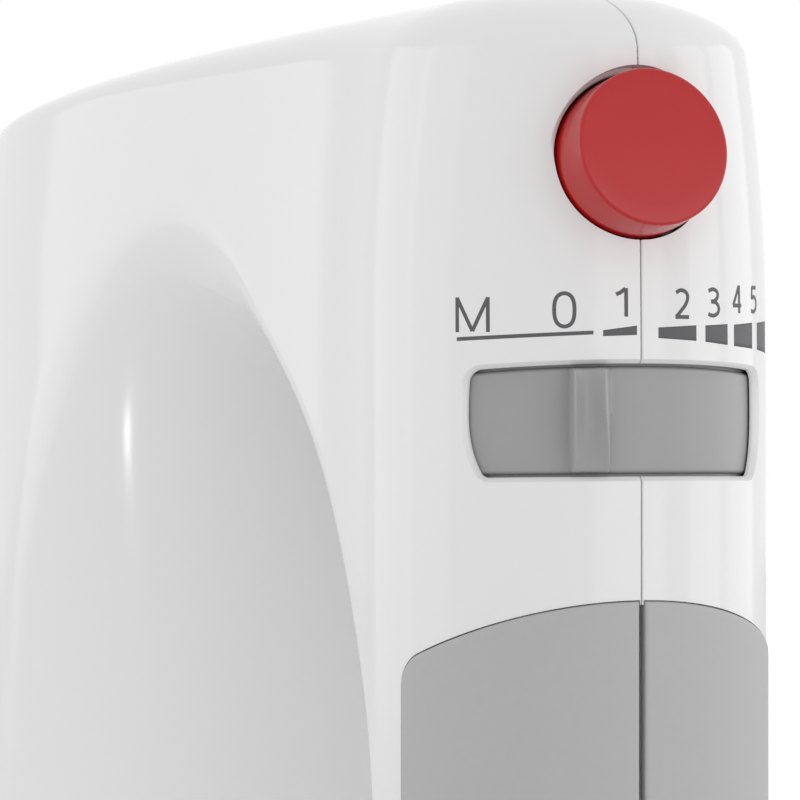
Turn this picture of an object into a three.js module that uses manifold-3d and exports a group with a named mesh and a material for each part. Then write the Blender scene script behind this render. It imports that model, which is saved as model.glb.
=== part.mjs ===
// Electric hand mixer standing on its heel: white two-half housing around an open handle,
// grey grip inlays, sliding speed switch, round eject button, and the motor, worm drive,
// ejector and beaters that the housing carries. Millimetres, +Z up towards the nose,
// -Y towards the top of the handle, +X to the right of the seam.
import * as THREE from "three";
import { ParametricGeometry } from "three/addons/geometries/ParametricGeometry.js";
import { mergeVertices } from "three/addons/utils/BufferGeometryUtils.js";
import Module from "manifold-3d";

const wasm = await Module();
wasm.setup();

// ---- Driving dimensions -------------------------------------------------------------------
const LENGTH = 195; // heel to nose
const DEPTH = 142; // top of the handle to the underside
const GRIP_RADIUS = 25.5; // round top of the handle
const GRIP_EDGE_DEPTH = 24; // top of the handle to its lower edges
const GRIP_BELLY = 5.5; // how far the handle's underside bulges past its edges
const BODY_HALF_WIDTH = 45; // motor housing
const SHOULDER_DROP = 29; // underside to the widest line of the motor housing
const DOME_HEIGHT = 41; // widest line of the motor housing to the top of its dome
const NOSE_SOLID = 36; // nose to the front end of the finger opening
const REAR_SOLID = 32; // heel to the rear end of the finger opening
const WALL = 2.6;
const SEAM = 0.3; // gap between the two housing halves
const GAP = 0.3; // running and fitting clearance
const TOP_BEND = 55; // nose to where the handle's top starts to curve down
const TOP_BEND_RADIUS = 900;
const HEEL_BEND = 60; // heel to where the handle's top starts to curve down
const HEEL_BEND_RADIUS = 200;
const NOSE_ROUND = 8;
const NOSE_TAPER = 40; // nose to where the sides start to draw in
const NOSE_TAPER_RADIUS = 215;
const UNDER_ROUND = 30;
const HEEL_ROUND = 16;
const HEEL_OVERRUN = 6; // the round of the heel is cut this far before it closes

const SWITCH_BELOW_NOSE = 52.5;
const SLOT_HEIGHT = 13.3;
const SLOT_HALF_ANGLE = 46;
const LIP_WALL = 0.95; // housing wall left over the slider band
const BAND_WALL = 1.5;
const RIDGE_ANGLE = -14.5; // where the finger ridge rests, from the seam
const RIDGE_WIDTH = 5;
const RIDGE_HEIGHT = 2.1; // finger ridge above the housing
const SLIDE_BACK = 23.5; // degrees of travel to the pulse end
const SLIDE_FORWARD = 52.5; // degrees of travel to the fastest end

const BUTTON_BELOW_NOSE = 21;
const BUTTON_LEAN = 11; // degrees that its face leans towards the nose
const BUTTON_RADIUS = 9.3;
const BUTTON_PROUD = 4.7;
const BUTTON_SKIRT = 7;
const BUTTON_STEM = 22; // length under the housing's surface
const EJECT_TRAVEL = 5.5;

const INLAY_SIDE = 16.5; // depth of the grip inlay's side edge
const INLAY_BELOW_NOSE = 73.6; // nose to its front edge at the seam
const INLAY_SLOPE = 0.46; // how its front edge falls back towards the sides
const INLAY_REAR = 30;
const INLAY_THICK = 1.2; // below the housing's surface
const INLAY_PROUD = 0.3;

const MOTOR_UNDER = 32; // motor axis above the underside
const SHAFT_RADIUS = 2.5;
const ARMATURE_RADIUS = 14;
const ARMATURE_LENGTH = 26;
const ARMATURE_REAR = 52; // heel to the armature's rear face
const AIR_GAP = 0.6;
const STATOR_HALF_WIDTH = 27;
const STATOR_HALF_DEPTH = 22;
const COMMUTATOR_RADIUS = 8;
const COMMUTATOR_LENGTH = 12;
const COIL_THICK = 5;
const COIL_SIDE = 5.4;
const FAN_RADIUS = 21;
const FAN_BLADES = 9;

const WORM_MODULE = 0.9;
const WORM_PITCH_RADIUS = 3.5;
const WORM_LENGTH = 20;
const GEAR_TEETH = 30;
const GEAR_FACE = 4;
const GEAR_GAP = 28.6; // armature's front coil to the worm
const HUB_RADIUS = 4.9;
const BEATER_SHAFT_RADIUS = 3;
const BEATER_REACH = 125; // beater below the underside
const BEATER_RADIUS = 23;
const BEATER_WIRE = 1.3;

const SCREW_RADIUS = 1.5;
const SCREW_HEAD = 2.9;
const BOSS_RADIUS = 4;

// ---- Places worked out from them ----------------------------------------------------------
const DEG = Math.PI / 180;
const SWITCH_Z = LENGTH - SWITCH_BELOW_NOSE;
const BUTTON_Z = LENGTH - BUTTON_BELOW_NOSE;
const MOTOR_Y = DEPTH - MOTOR_UNDER;
const ARMATURE_FRONT = ARMATURE_REAR + ARMATURE_LENGTH;
const SPINDLE_Z = ARMATURE_FRONT + COIL_SIDE + GEAR_GAP + WORM_LENGTH / 2;
const GEAR_PITCH_RADIUS = (WORM_MODULE * GEAR_TEETH) / 2;
const SPINDLE_X = WORM_PITCH_RADIUS + GEAR_PITCH_RADIUS;
const SHOULDER_Y = DEPTH - SHOULDER_DROP;
const DOME_Y = SHOULDER_Y - DOME_HEIGHT;
const FRONT_Z = LENGTH - NOSE_SOLID;

// ---- Small solids and joins ---------------------------------------------------------------
const root = new THREE.Group();
const model = new THREE.Group();
root.add(model);

function toSolid(geometry) {
  const bare = geometry.clone();
  bare.deleteAttribute("normal");
  bare.deleteAttribute("uv");
  const merged = mergeVertices(bare, 1e-4);
  const index = merged.index.array;
  const kept = [];
  for (let i = 0; i < index.length; i += 3) {
    const [a, b, c] = [index[i], index[i + 1], index[i + 2]];
    if (a !== b && b !== c && c !== a) kept.push(a, b, c);
  }
  return new wasm.Manifold(
    new wasm.Mesh({
      numProp: 3,
      vertProperties: merged.attributes.position.array,
      triVerts: new Uint32Array(kept),
    }),
  );
}

function toGeometry(solid) {
  const mesh = solid.getMesh();
  const geometry = new THREE.BufferGeometry();
  geometry.setAttribute("position", new THREE.BufferAttribute(mesh.vertProperties, 3));
  geometry.setIndex(new THREE.BufferAttribute(mesh.triVerts, 1));
  return geometry;
}

function join(...solids) {
  return solids.reduce((a, b) => a.add(b));
}

function cut(solid, ...tools) {
  return tools.reduce((a, b) => a.subtract(b), solid);
}

function box(x0, x1, y0, y1, z0, z1) {
  const geometry = new THREE.BoxGeometry(x1 - x0, y1 - y0, z1 - z0);
  geometry.translate((x0 + x1) / 2, (y0 + y1) / 2, (z0 + z1) / 2);
  return toSolid(geometry);
}

// A cylinder along an axis ("x", "y" or "z") from one place on it to another.
function rod(axis, radius, from, to, a, b, sides = 20) {
  const geometry = new THREE.CylinderGeometry(radius, radius, to - from, sides);
  geometry.translate(0, (from + to) / 2, 0);
  if (axis === "x") geometry.rotateZ(-Math.PI / 2).translate(0, a, b);
  if (axis === "y") geometry.translate(a, 0, b);
  if (axis === "z") geometry.rotateX(Math.PI / 2).translate(a, b, 0);
  return toSolid(geometry);
}

function ring(axis, outer, inner, from, to, a, b, sides = 24) {
  return cut(
    rod(axis, outer, from, to, a, b, sides),
    rod(axis, inner, from - 1, to + 1, a, b, sides),
  );
}

function put(name, solid, finish) {
  const mesh = new THREE.Mesh(toGeometry(solid), new THREE.MeshStandardMaterial(finish));
  mesh.name = name;
  model.add(mesh);
}

const WHITE_SHELL = { color: 0xe9e9ea, roughness: 0.22, metalness: 0 };
const GREY_GRIP = { color: 0xa9a9a9, roughness: 0.6, metalness: 0 };
const GREY_SWITCH = { color: 0xa3a3a4, roughness: 0.4, metalness: 0 };
const RED_BUTTON = { color: 0xb8322f, roughness: 0.3, metalness: 0 };
const BLACK_PLASTIC = { color: 0x26272a, roughness: 0.5, metalness: 0 };
const NYLON = { color: 0xe4dcc6, roughness: 0.45, metalness: 0 };
const STEEL = { color: 0x9a9da1, roughness: 0.35, metalness: 1 };
const CHROME = { color: 0xd5d7da, roughness: 0.12, metalness: 1 };
const LAMINATION = { color: 0x6f7377, roughness: 0.5, metalness: 1 };
const COPPER = { color: 0xb5652f, roughness: 0.35, metalness: 1 };
const BRASS = { color: 0xc3a04d, roughness: 0.35, metalness: 1 };
const CARBON = { color: 0x1c1c1e, roughness: 0.7, metalness: 0 };
const BOARD_GREEN = { color: 0x2e6b3c, roughness: 0.5, metalness: 0 };

// ---- Housing surface ----------------------------------------------------------------------
// The handle's top line: straight, and falling away along a large arc at the nose and heel.
function topLine(z) {
  const nose = Math.max(0, z - (LENGTH - TOP_BEND));
  const heel = Math.max(0, HEEL_BEND - z);
  return nose ** 2 / (2 * TOP_BEND_RADIUS) + heel ** 2 / (2 * HEEL_BEND_RADIUS);
}

// The nose is slightly domed from the handle's top to the underside.
function noseLine(y) {
  return LENGTH - (y - GRIP_RADIUS) ** 2 / (DEPTH * 9.7);
}

// Half the width of the housing before its edges are rounded: the handle's radius near the
// top, easing out to the motor housing's, and slightly narrower towards the nose.
function fullWidth(y, z) {
  const t = THREE.MathUtils.clamp((y - GRIP_RADIUS) / (SHOULDER_Y - GRIP_RADIUS), 0, 1);
  const taper = Math.max(0, z - (LENGTH - NOSE_TAPER)) ** 2 / (2 * NOSE_TAPER_RADIUS);
  return GRIP_RADIUS + (BODY_HALF_WIDTH - GRIP_RADIUS) * t * t * (3 - 2 * t) - taper;
}

// What is left of the width near the edges of the side view, as one minus the sum of the
// powers of how far a point is inside each round. It is 0 on the outline.
function fullness(y, z, inset) {
  const short = (distance, round) => Math.max(0, 1 - (distance - inset) / (round - inset));
  return (
    1 -
    short(y - topLine(z), GRIP_RADIUS) ** 2 -
    short(noseLine(y) - z, NOSE_ROUND) ** 2 -
    short(DEPTH - y, UNDER_ROUND) ** 2.6 -
    short(z + HEEL_OVERRUN, HEEL_ROUND) ** 3
  );
}

function halfWidth(y, z, inset) {
  return (fullWidth(y, z) - inset) * Math.sqrt(Math.max(0, fullness(y, z, inset)));
}

// Stations round the finger opening. Each gives the edge of the opening where the housing is
// widest, the edge at the seam, and how round the wall between them is: 1 leaves the crisp
// edge of the handle, 2 is the full dome of the motor housing.
const BELLY_Y = GRIP_EDGE_DEPTH + GRIP_BELLY;
const STATIONS = [
  { edge: [GRIP_EDGE_DEPTH, FRONT_Z - 87], seam: [BELLY_Y, FRONT_Z - 87], round: 1 },
  { edge: [GRIP_EDGE_DEPTH, FRONT_Z - 61], seam: [BELLY_Y, FRONT_Z - 62], round: 1 },
  { edge: [GRIP_EDGE_DEPTH + 4.6, FRONT_Z - 43], seam: [BELLY_Y + 5, FRONT_Z - 45], round: 1 },
  { edge: [GRIP_EDGE_DEPTH + 12.4, FRONT_Z - 25.4], seam: [BELLY_Y + 13, FRONT_Z - 30.5], round: 1 },
  { edge: [DOME_Y - 27.2, FRONT_Z - 12.4], seam: [DOME_Y - 21, FRONT_Z - 21], round: 1.05 },
  { edge: [DOME_Y - 18.5, FRONT_Z - 2.5], seam: [DOME_Y - 14, FRONT_Z - 15], round: 1.15 },
  { edge: [DOME_Y - 8.5, FRONT_Z + 4], seam: [DOME_Y - 8, FRONT_Z - 12.5], round: 1.25 },
  { edge: [SHOULDER_Y - 36, FRONT_Z + 6], seam: [DOME_Y - 3, FRONT_Z - 15], round: 1.3 },
  { edge: [SHOULDER_Y - 20.5, FRONT_Z - 8], seam: [DOME_Y - 0.5, FRONT_Z - 26], round: 1.3 },
  { edge: [SHOULDER_Y - 6, FRONT_Z - 38], seam: [DOME_Y, FRONT_Z - 50], round: 1.3 },
  { edge: [SHOULDER_Y - 3, REAR_SOLID + 50], seam: [DOME_Y, REAR_SOLID + 52], round: 1.35 },
  { edge: [SHOULDER_Y - 6, REAR_SOLID + 18], seam: [DOME_Y - 2, REAR_SOLID + 28], round: 1.4 },
  { edge: [SHOULDER_Y - 27, REAR_SOLID - 5], seam: [DOME_Y - 10, REAR_SOLID + 15], round: 1.4 },
  { edge: [DOME_Y - 14, REAR_SOLID - 4], seam: [DOME_Y - 20, REAR_SOLID + 11], round: 1.3 },
  { edge: [GRIP_EDGE_DEPTH + 11, REAR_SOLID + 3], seam: [BELLY_Y + 10, REAR_SOLID + 16], round: 1.15 },
  { edge: [GRIP_EDGE_DEPTH + 2, REAR_SOLID + 18], seam: [BELLY_Y + 3, REAR_SOLID + 25], round: 1 },
];
const edgeCurve = stationCurve((s) => s.edge);
const seamCurve = stationCurve((s) => s.seam);
const roundCurve = stationCurve((s) => [s.round, 0]);

function stationCurve(read) {
  const points = STATIONS.map((s) => new THREE.Vector3(read(s)[0], read(s)[1], 0));
  return new THREE.CatmullRomCurve3(points, true, "catmullrom", 0.5);
}

// Where a line from a point inside the side view, along a direction, meets the outline.
function outlineHit(start, direction, inset) {
  let inside = 0;
  let outside = LENGTH + DEPTH;
  for (let i = 0; i < 40; i += 1) {
    const middle = (inside + outside) / 2;
    const y = start.x + direction.x * middle;
    const z = start.y + direction.y * middle;
    if (fullness(y, z, inset) > 0) inside = middle;
    else outside = middle;
  }
  return start.clone().addScaledVector(direction, inside);
}

// A ring round the opening: u goes round it, and v goes from the outline out over the right
// side, in to the seam line inside the opening, and back over the left side.
function housingPoint(u, v, inset, target) {
  const edge = edgeCurve.getPoint(u);
  const seam = seamCurve.getPoint(u);
  const outward = edge.clone().sub(seam).normalize();
  edge.addScaledVector(outward, inset);
  seam.addScaledVector(outward, inset);
  const outline = outlineHit(edge, outward, inset);
  const side = v <= 0.5 ? 1 : -1;
  const w = v <= 0.5 ? v * 2 : 2 - v * 2;
  const share = 0.55;
  if (w === 0) return target.set(0, outline.x, outline.y);
  if (w < share) {
    const reach = 1 - Math.cos(((w / share) * Math.PI) / 2);
    const at = outline.lerp(edge, reach);
    return target.set(side * halfWidth(at.x, at.y, inset), at.x, at.y);
  }
  const angle = (((w - share) / (1 - share)) * Math.PI) / 2;
  const widest = halfWidth(edge.x, edge.y, inset);
  const bulge = Math.sin(angle) ** (2 / roundCurve.getPoint(u).x);
  const at = edge.lerp(seam, bulge);
  return target.set(side * widest * Math.cos(angle), at.x, at.y);
}

function housing(inset, around, across, floor) {
  const surface = new ParametricGeometry(
    (u, v, target) => housingPoint(u % 1, 1 - v, inset, target),
    around,
    across,
  );
  const far = LENGTH + DEPTH;
  return toSolid(surface).intersect(box(-far, far, -far, far, floor, far));
}

// A point over the round top of the handle: angle from the seam, height above the surface.
function topPoint(angle, z, height) {
  const radius = GRIP_RADIUS + height;
  return [radius * Math.sin(angle), topLine(z) + GRIP_RADIUS - radius * Math.cos(angle), z];
}

// A wall round the switch's axis between two angles, two radii and two heights.
function arcWall(inner, outer, from, to, z0, z1, steps = 24) {
  const shape = new THREE.Shape();
  shape.absarc(0, 0, outer, from - Math.PI / 2, to - Math.PI / 2, false);
  shape.absarc(0, 0, inner, to - Math.PI / 2, from - Math.PI / 2, true);
  shape.closePath();
  const geometry = new THREE.ExtrudeGeometry(shape, {
    depth: z1 - z0,
    bevelEnabled: false,
    curveSegments: steps,
  });
  geometry.translate(0, topLine(SWITCH_Z) + GRIP_RADIUS, z0);
  return toSolid(geometry);
}

const OUTER_GRID = [48, 26];
const INNER_GRID = [32, 16];
const RIB_ROOT = 0.8; // how far ribs run into the wall that carries them
const outerBody = housing(0, ...OUTER_GRID, 0);
const innerBody = housing(WALL, ...INNER_GRID, WALL);
const ribBody = housing(WALL - RIB_ROOT, ...INNER_GRID, WALL - RIB_ROOT);

// ---- Slider, button and inlay places ------------------------------------------------------
const SLOT_FROM = SWITCH_Z - SLOT_HEIGHT / 2;
const SLOT_TO = SWITCH_Z + SLOT_HEIGHT / 2;
const SWITCH_TILT = Math.atan((SWITCH_Z - (LENGTH - TOP_BEND)) / TOP_BEND_RADIUS);
const BAND_OUTER = GRIP_RADIUS - LIP_WALL - GAP;
const BAND_INNER = BAND_OUTER - BAND_WALL;
const BAND_COVER = 3 * DEG;
const BAND_FROM = -SLOT_HALF_ANGLE * DEG - SLIDE_FORWARD * DEG - BAND_COVER;
const BAND_TO = SLOT_HALF_ANGLE * DEG + SLIDE_BACK * DEG + BAND_COVER;
const BAND_MARGIN = 2; // band hidden under the housing above and below the slot

const BUTTON_TILT = BUTTON_LEAN * DEG;
const BUTTON_PLACE = topPoint(0, BUTTON_Z, 0);
const STEM_END_Y = BUTTON_PLACE[1] + BUTTON_STEM * Math.cos(BUTTON_TILT);
const STEM_END_Z = BUTTON_PLACE[2] - BUTTON_STEM * Math.sin(BUTTON_TILT);
const STEM_RADIUS = 3;

// Leans a solid made round the switch by the slope of the housing there.
function atSwitch(solid) {
  return toSolid(
    toGeometry(solid)
      .translate(0, -topLine(SWITCH_Z), -SWITCH_Z)
      .rotateX(-SWITCH_TILT)
      .translate(0, topLine(SWITCH_Z), SWITCH_Z),
  );
}

// Turns a solid made along +Z at the origin to point out of the button's place.
function atButton(solid) {
  return toSolid(
    toGeometry(solid)
      .rotateX(Math.PI / 2 - BUTTON_TILT)
      .translate(...BUTTON_PLACE),
  );
}

// Side-view outline of the grip inlay, carried through the whole width.
function inlayPrism(grow) {
  const side = INLAY_SIDE + grow;
  const front = LENGTH - INLAY_BELOW_NOSE + grow * 1.1;
  const rear = INLAY_REAR - grow * 1.1;
  const over = 12;
  const corner = 2.5;
  const outline = new THREE.Shape();
  outline.moveTo(-over, front + over * INLAY_SLOPE);
  outline.lineTo(side - corner, front - (side - corner) * INLAY_SLOPE);
  outline.quadraticCurveTo(
    side,
    front - side * INLAY_SLOPE,
    side,
    front - side * INLAY_SLOPE - corner,
  );
  outline.lineTo(side, rear + side * INLAY_SLOPE + corner);
  outline.quadraticCurveTo(
    side,
    rear + side * INLAY_SLOPE,
    side - corner,
    rear + (side - corner) * INLAY_SLOPE,
  );
  outline.lineTo(-over, rear - over * INLAY_SLOPE);
  outline.closePath();
  const prism = new THREE.ExtrudeGeometry(outline, {
    depth: 2 * BODY_HALF_WIDTH,
    bevelEnabled: false,
    curveSegments: 3,
  });
  const turn = new THREE.Matrix4().makeBasis(
    new THREE.Vector3(0, 1, 0),
    new THREE.Vector3(0, 0, 1),
    new THREE.Vector3(1, 0, 0),
  );
  return toSolid(prism.applyMatrix4(turn).translate(-BODY_HALF_WIDTH, 0, 0));
}

// ---- Ejector places -----------------------------------------------------------------------
const SHAFT_TOP = MOTOR_Y - 6; // inner end of each beater shaft
const GEARBOX_TOP = MOTOR_Y - 10;
const YOKE_Y = GEARBOX_TOP - 15; // strap of the ejector yoke
const YOKE_THICK = 2.5;
const YOKE_ARM = [BUTTON_Z - 8.5, BUTTON_Z - 1];
const YOKE_HALF = 4;
const HUB_TOP = GEARBOX_TOP - 3;
const HUB_END = DEPTH - 5;
const BUSH_RADIUS = 8.4;

// ---- Housing halves -----------------------------------------------------------------------
const GEARBOX = { half: 34, from: SPINDLE_Z - 18, to: SPINDLE_Z + 18, end: MOTOR_Y + 13 };
const BOARD = { half: 10.5, y: 14.5, thick: 1.6, from: SWITCH_Z - 18, to: SWITCH_Z + 15 };
const SCREWS = [
  { name: "screw_grip_front", y: 12, z: SWITCH_Z - 46 },
  { name: "screw_grip_rear", y: 12, z: INLAY_REAR + 18 },
  { name: "screw_nose", y: DOME_Y - 10, z: LENGTH - 16 },
  { name: "screw_underside", y: DEPTH - 12, z: FRONT_Z + 6 },
  { name: "screw_heel", y: DEPTH - 15, z: 14 },
];
const GLAND = { z: 20, outer: 6, bore: 3.4, flange: 8, depth: 8.6 };
const VENTS = {
  rows: 5,
  first: 12,
  pitch: 5.5,
  height: 2.4,
  from: SHOULDER_Y - 22,
  to: SHOULDER_Y + 10,
};
const SCREW_SEAT = 9; // head's underside from the seam
const SCREW_LENGTH = 20;

function slab(x0, x1, y0, y1, z0, z1) {
  return ribBody.intersect(box(x0, x1, y0, y1, z0, z1));
}

function housingShell() {
  const wide = BODY_HALF_WIDTH + 1;
  const deep = DEPTH + 1;
  let shell = cut(outerBody, innerBody);
  const motor = {
    x: STATOR_HALF_WIDTH + GAP,
    y0: MOTOR_Y - STATOR_HALF_DEPTH - GAP,
    y1: MOTOR_Y + STATOR_HALF_DEPTH + GAP,
  };
  for (const z of [ARMATURE_REAR + 4, ARMATURE_FRONT - 7]) {
    const rib = slab(-wide, wide, DOME_Y - 2, deep, z, z + 2.5);
    shell = join(shell, cut(rib, box(-motor.x, motor.x, motor.y0, motor.y1, z - 1, z + 4)));
  }
  const gearRib = slab(-wide, wide, GEARBOX_TOP + 2, deep, SPINDLE_Z - 1.2, SPINDLE_Z + 1.2);
  const gearHole = box(
    -GEARBOX.half - GAP,
    GEARBOX.half + GAP,
    0,
    deep,
    SPINDLE_Z - 3,
    SPINDLE_Z + 3,
  );
  shell = join(shell, cut(gearRib, gearHole));
  for (const z of [BOARD.from + 1.5, BOARD.to - 3.5]) {
    const rib = slab(-wide, wide, -1, BOARD.y + 4, z, z + 2);
    const notch = box(
      -BOARD.half - GAP,
      BOARD.half + GAP,
      BOARD.y - GAP,
      BOARD.y + BOARD.thick + GAP,
      z - 1,
      z + 3,
    );
    const middle = box(-6, 6, -9, BOARD.y + 5, z - 1, z + 3);
    shell = join(shell, cut(rib, notch, middle));
  }
  const guide = slab(-9, 9, DOME_Y - 22, DOME_Y - 19, YOKE_ARM[0] - 4, YOKE_ARM[1] + 30);
  const guideHole = box(
    -YOKE_HALF - GAP,
    YOKE_HALF + GAP,
    0,
    deep,
    YOKE_ARM[0] - GAP,
    YOKE_ARM[1] + GAP,
  );
  shell = join(shell, cut(guide, guideHole));
  for (const { y, z } of SCREWS) {
    shell = join(shell, rod("x", BOSS_RADIUS, -wide, wide, y, z, 16).intersect(outerBody));
  }
  for (const side of [-1, 1]) {
    const wall = rod("y", BUSH_RADIUS + 2, DEPTH - 10, deep, side * SPINDLE_X, SPINDLE_Z, 24);
    shell = join(shell, wall.intersect(outerBody));
  }
  return shell;
}

function housingCuts() {
  const wide = BODY_HALF_WIDTH + 1;
  const slot = arcWall(
    GRIP_RADIUS - 7,
    GRIP_RADIUS + 5,
    -SLOT_HALF_ANGLE * DEG,
    SLOT_HALF_ANGLE * DEG,
    SLOT_FROM,
    SLOT_TO,
  );
  const pocket = arcWall(
    GRIP_RADIUS - 6.5,
    BAND_OUTER + GAP,
    BAND_FROM - SLIDE_BACK * DEG - BAND_COVER,
    BAND_TO + SLIDE_FORWARD * DEG + BAND_COVER,
    SLOT_FROM - BAND_MARGIN - GAP,
    SLOT_TO + BAND_MARGIN + GAP,
    36,
  );
  const buttonHole = atButton(
    rod("z", BUTTON_RADIUS + 0.7, -6, 12, 0, 0, 36).add(
      rod("z", BUTTON_RADIUS + 2.2, -BUTTON_SKIRT - EJECT_TRAVEL - 4, -2.6, 0, 0, 24),
    ),
  );
  const recess = cut(
    inlayPrism(GAP),
    housing(INLAY_THICK + GAP, ...OUTER_GRID, WALL),
  );
  const bushes = [-1, 1].map((side) =>
    rod("y", BUSH_RADIUS + GAP, DEPTH - 12, DEPTH + 5, side * SPINDLE_X, SPINDLE_Z, 24),
  );
  const inlet = rod("y", GLAND.outer + GAP, -20, 13, 0, GLAND.z, 20);
  const vents = [];
  for (let i = 0; i < VENTS.rows; i += 1) {
    const z = VENTS.first + i * VENTS.pitch;
    vents.push(box(-wide, wide, VENTS.from, VENTS.to, z, z + VENTS.height));
  }
  const threads = SCREWS.flatMap(({ y, z }) => [
    rod("x", SCREW_RADIUS + GAP, SCREW_SEAT - SCREW_LENGTH - 1, wide, y, z, 12),
    rod("x", SCREW_HEAD + GAP, SCREW_SEAT, wide, y, z, 16),
  ]);
  const top = [atSwitch(slot), atSwitch(pocket), buttonHole, recess, inlet];
  return [...top, ...bushes, ...vents, ...threads];
}

const shell = cut(housingShell(), ...housingCuts());
const far = LENGTH + DEPTH;
put("shell_left", shell.intersect(box(-far, -SEAM / 2, -far, far, -1, far)), WHITE_SHELL);
put("shell_right", shell.intersect(box(SEAM / 2, far, -far, far, -1, far)), WHITE_SHELL);

// ---- Grip inlays --------------------------------------------------------------------------
const inlay = cut(housing(-INLAY_PROUD, ...OUTER_GRID, 0), housing(INLAY_THICK, ...OUTER_GRID, 0))
  .intersect(inlayPrism(0));
put("grip_inlay_left", inlay.intersect(box(-far, -SEAM / 2, -far, far, -1, far)), GREY_GRIP);
put("grip_inlay_right", inlay.intersect(box(SEAM / 2, far, -far, far, -1, far)), GREY_GRIP);

// ---- Speed slider -------------------------------------------------------------------------
const ridgeHalf = RIDGE_WIDTH / 2 / GRIP_RADIUS;
const band = arcWall(
  BAND_INNER,
  BAND_OUTER,
  BAND_FROM,
  BAND_TO,
  SLOT_FROM - BAND_MARGIN,
  SLOT_TO + BAND_MARGIN,
  28,
);
const ridge = arcWall(
  BAND_INNER + 0.4,
  GRIP_RADIUS + RIDGE_HEIGHT,
  RIDGE_ANGLE * DEG - ridgeHalf,
  RIDGE_ANGLE * DEG + ridgeHalf,
  SLOT_FROM + GAP,
  SLOT_TO - GAP,
  3,
);
put("speed_slider", atSwitch(join(band, ridge)), GREY_SWITCH);

const contactArm = arcWall(
  GRIP_RADIUS - 8.2,
  BAND_INNER - GAP,
  RIDGE_ANGLE * DEG - 0.16,
  RIDGE_ANGLE * DEG + 0.16,
  SWITCH_Z - 4,
  SWITCH_Z + 4,
  3,
);
put("switch_carriage", atSwitch(contactArm), BLACK_PLASTIC);
put(
  "switch_board",
  box(-BOARD.half, BOARD.half, BOARD.y, BOARD.y + BOARD.thick, BOARD.from, BOARD.to),
  BOARD_GREEN,
);
put(
  "speed_switch",
  box(-7, 7, BOARD.y + BOARD.thick + GAP, BOARD.y + 7, SWITCH_Z - 10, SWITCH_Z + 2),
  BLACK_PLASTIC,
);

// ---- Eject button, yoke and spring --------------------------------------------------------
const buttonProfile = [
  [0, -BUTTON_STEM],
  [STEM_RADIUS, -BUTTON_STEM],
  [STEM_RADIUS, BUTTON_PROUD - 3],
  [BUTTON_RADIUS - 2, BUTTON_PROUD - 3],
  [BUTTON_RADIUS - 2, -BUTTON_SKIRT],
  [BUTTON_RADIUS + 1.4, -BUTTON_SKIRT],
  [BUTTON_RADIUS + 1.4, -BUTTON_SKIRT + 1.6],
  [BUTTON_RADIUS, -BUTTON_SKIRT + 1.6],
  [BUTTON_RADIUS - 0.2, BUTTON_PROUD - 1],
  [BUTTON_RADIUS - 1.2, BUTTON_PROUD],
  [0, BUTTON_PROUD],
].map(([r, h]) => new THREE.Vector2(r, h));
const buttonLathe = new THREE.LatheGeometry(buttonProfile, 28).rotateX(Math.PI / 2);
put("eject_button", atButton(toSolid(buttonLathe)), RED_BUTTON);

const armStart = STEM_END_Y + STEM_RADIUS * Math.sin(BUTTON_TILT) + GAP;
const yokeEnd = YOKE_Y + YOKE_THICK;
const yoke = join(
  box(-YOKE_HALF, YOKE_HALF, armStart, yokeEnd, ...YOKE_ARM),
  box(-YOKE_HALF, YOKE_HALF, YOKE_Y, yokeEnd, SPINDLE_Z - 6, YOKE_ARM[1]),
  box(-SPINDLE_X - 4, SPINDLE_X + 4, YOKE_Y, yokeEnd, SPINDLE_Z - 6, SPINDLE_Z + 6),
  ...[-1, 1].map((side) =>
    rod("y", BEATER_SHAFT_RADIUS - 0.4, yokeEnd - 1, SHAFT_TOP - GAP, side * SPINDLE_X, SPINDLE_Z, 14),
  ),
);
put("ejector_yoke", yoke, BLACK_PLASTIC);

class Helix extends THREE.Curve {
  constructor(radius, length, turns) {
    super();
    Object.assign(this, { radius, length, turns });
  }

  getPoint(t, target = new THREE.Vector3()) {
    const angle = 2 * Math.PI * this.turns * t;
    return target.set(
      this.radius * Math.cos(angle),
      this.length * t,
      this.radius * Math.sin(angle),
    );
  }
}

const springSection = new THREE.Shape();
springSection.absarc(0, 0, 0.5, 0, 2 * Math.PI);
const spring = new THREE.ExtrudeGeometry(springSection, {
  steps: 36,
  curveSegments: 3,
  extrudePath: new Helix(3.6, GEARBOX_TOP - yokeEnd - 2 * GAP - 1, 4.5),
}).translate(0, yokeEnd + GAP + 0.5, SPINDLE_Z);
put("ejector_spring", toSolid(spring), STEEL);

// ---- Gearbox ------------------------------------------------------------------------------
const tray = cut(
  box(-GEARBOX.half, GEARBOX.half, GEARBOX_TOP + 3 + GAP, GEARBOX.end, GEARBOX.from, GEARBOX.to),
  box(
    -GEARBOX.half + 2.4,
    GEARBOX.half - 2.4,
    GEARBOX_TOP,
    GEARBOX.end - 2.5,
    GEARBOX.from + 2.4,
    GEARBOX.to - 2.4,
  ),
  rod("z", SHAFT_RADIUS + GAP, GEARBOX.to - 5, GEARBOX.to + 1, 0, MOTOR_Y, 20),
  rod("z", SHAFT_RADIUS + 4 + GAP, GEARBOX.from - 1, GEARBOX.from + 5, 0, MOTOR_Y, 20),
  ...[-1, 1].map((side) =>
    rod("y", HUB_RADIUS + GAP, GEARBOX.end - 5, GEARBOX.end + 1, side * SPINDLE_X, SPINDLE_Z),
  ),
);
put("gearbox_tray", tray, BLACK_PLASTIC);
const cover = cut(
  box(-GEARBOX.half, GEARBOX.half, GEARBOX_TOP, GEARBOX_TOP + 3, GEARBOX.from, GEARBOX.to),
  ...[-1, 1].map((side) =>
    rod("y", HUB_RADIUS + GAP, GEARBOX_TOP - 1, GEARBOX_TOP + 4, side * SPINDLE_X, SPINDLE_Z),
  ),
);
put("gearbox_cover", cover, BLACK_PLASTIC);

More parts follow.
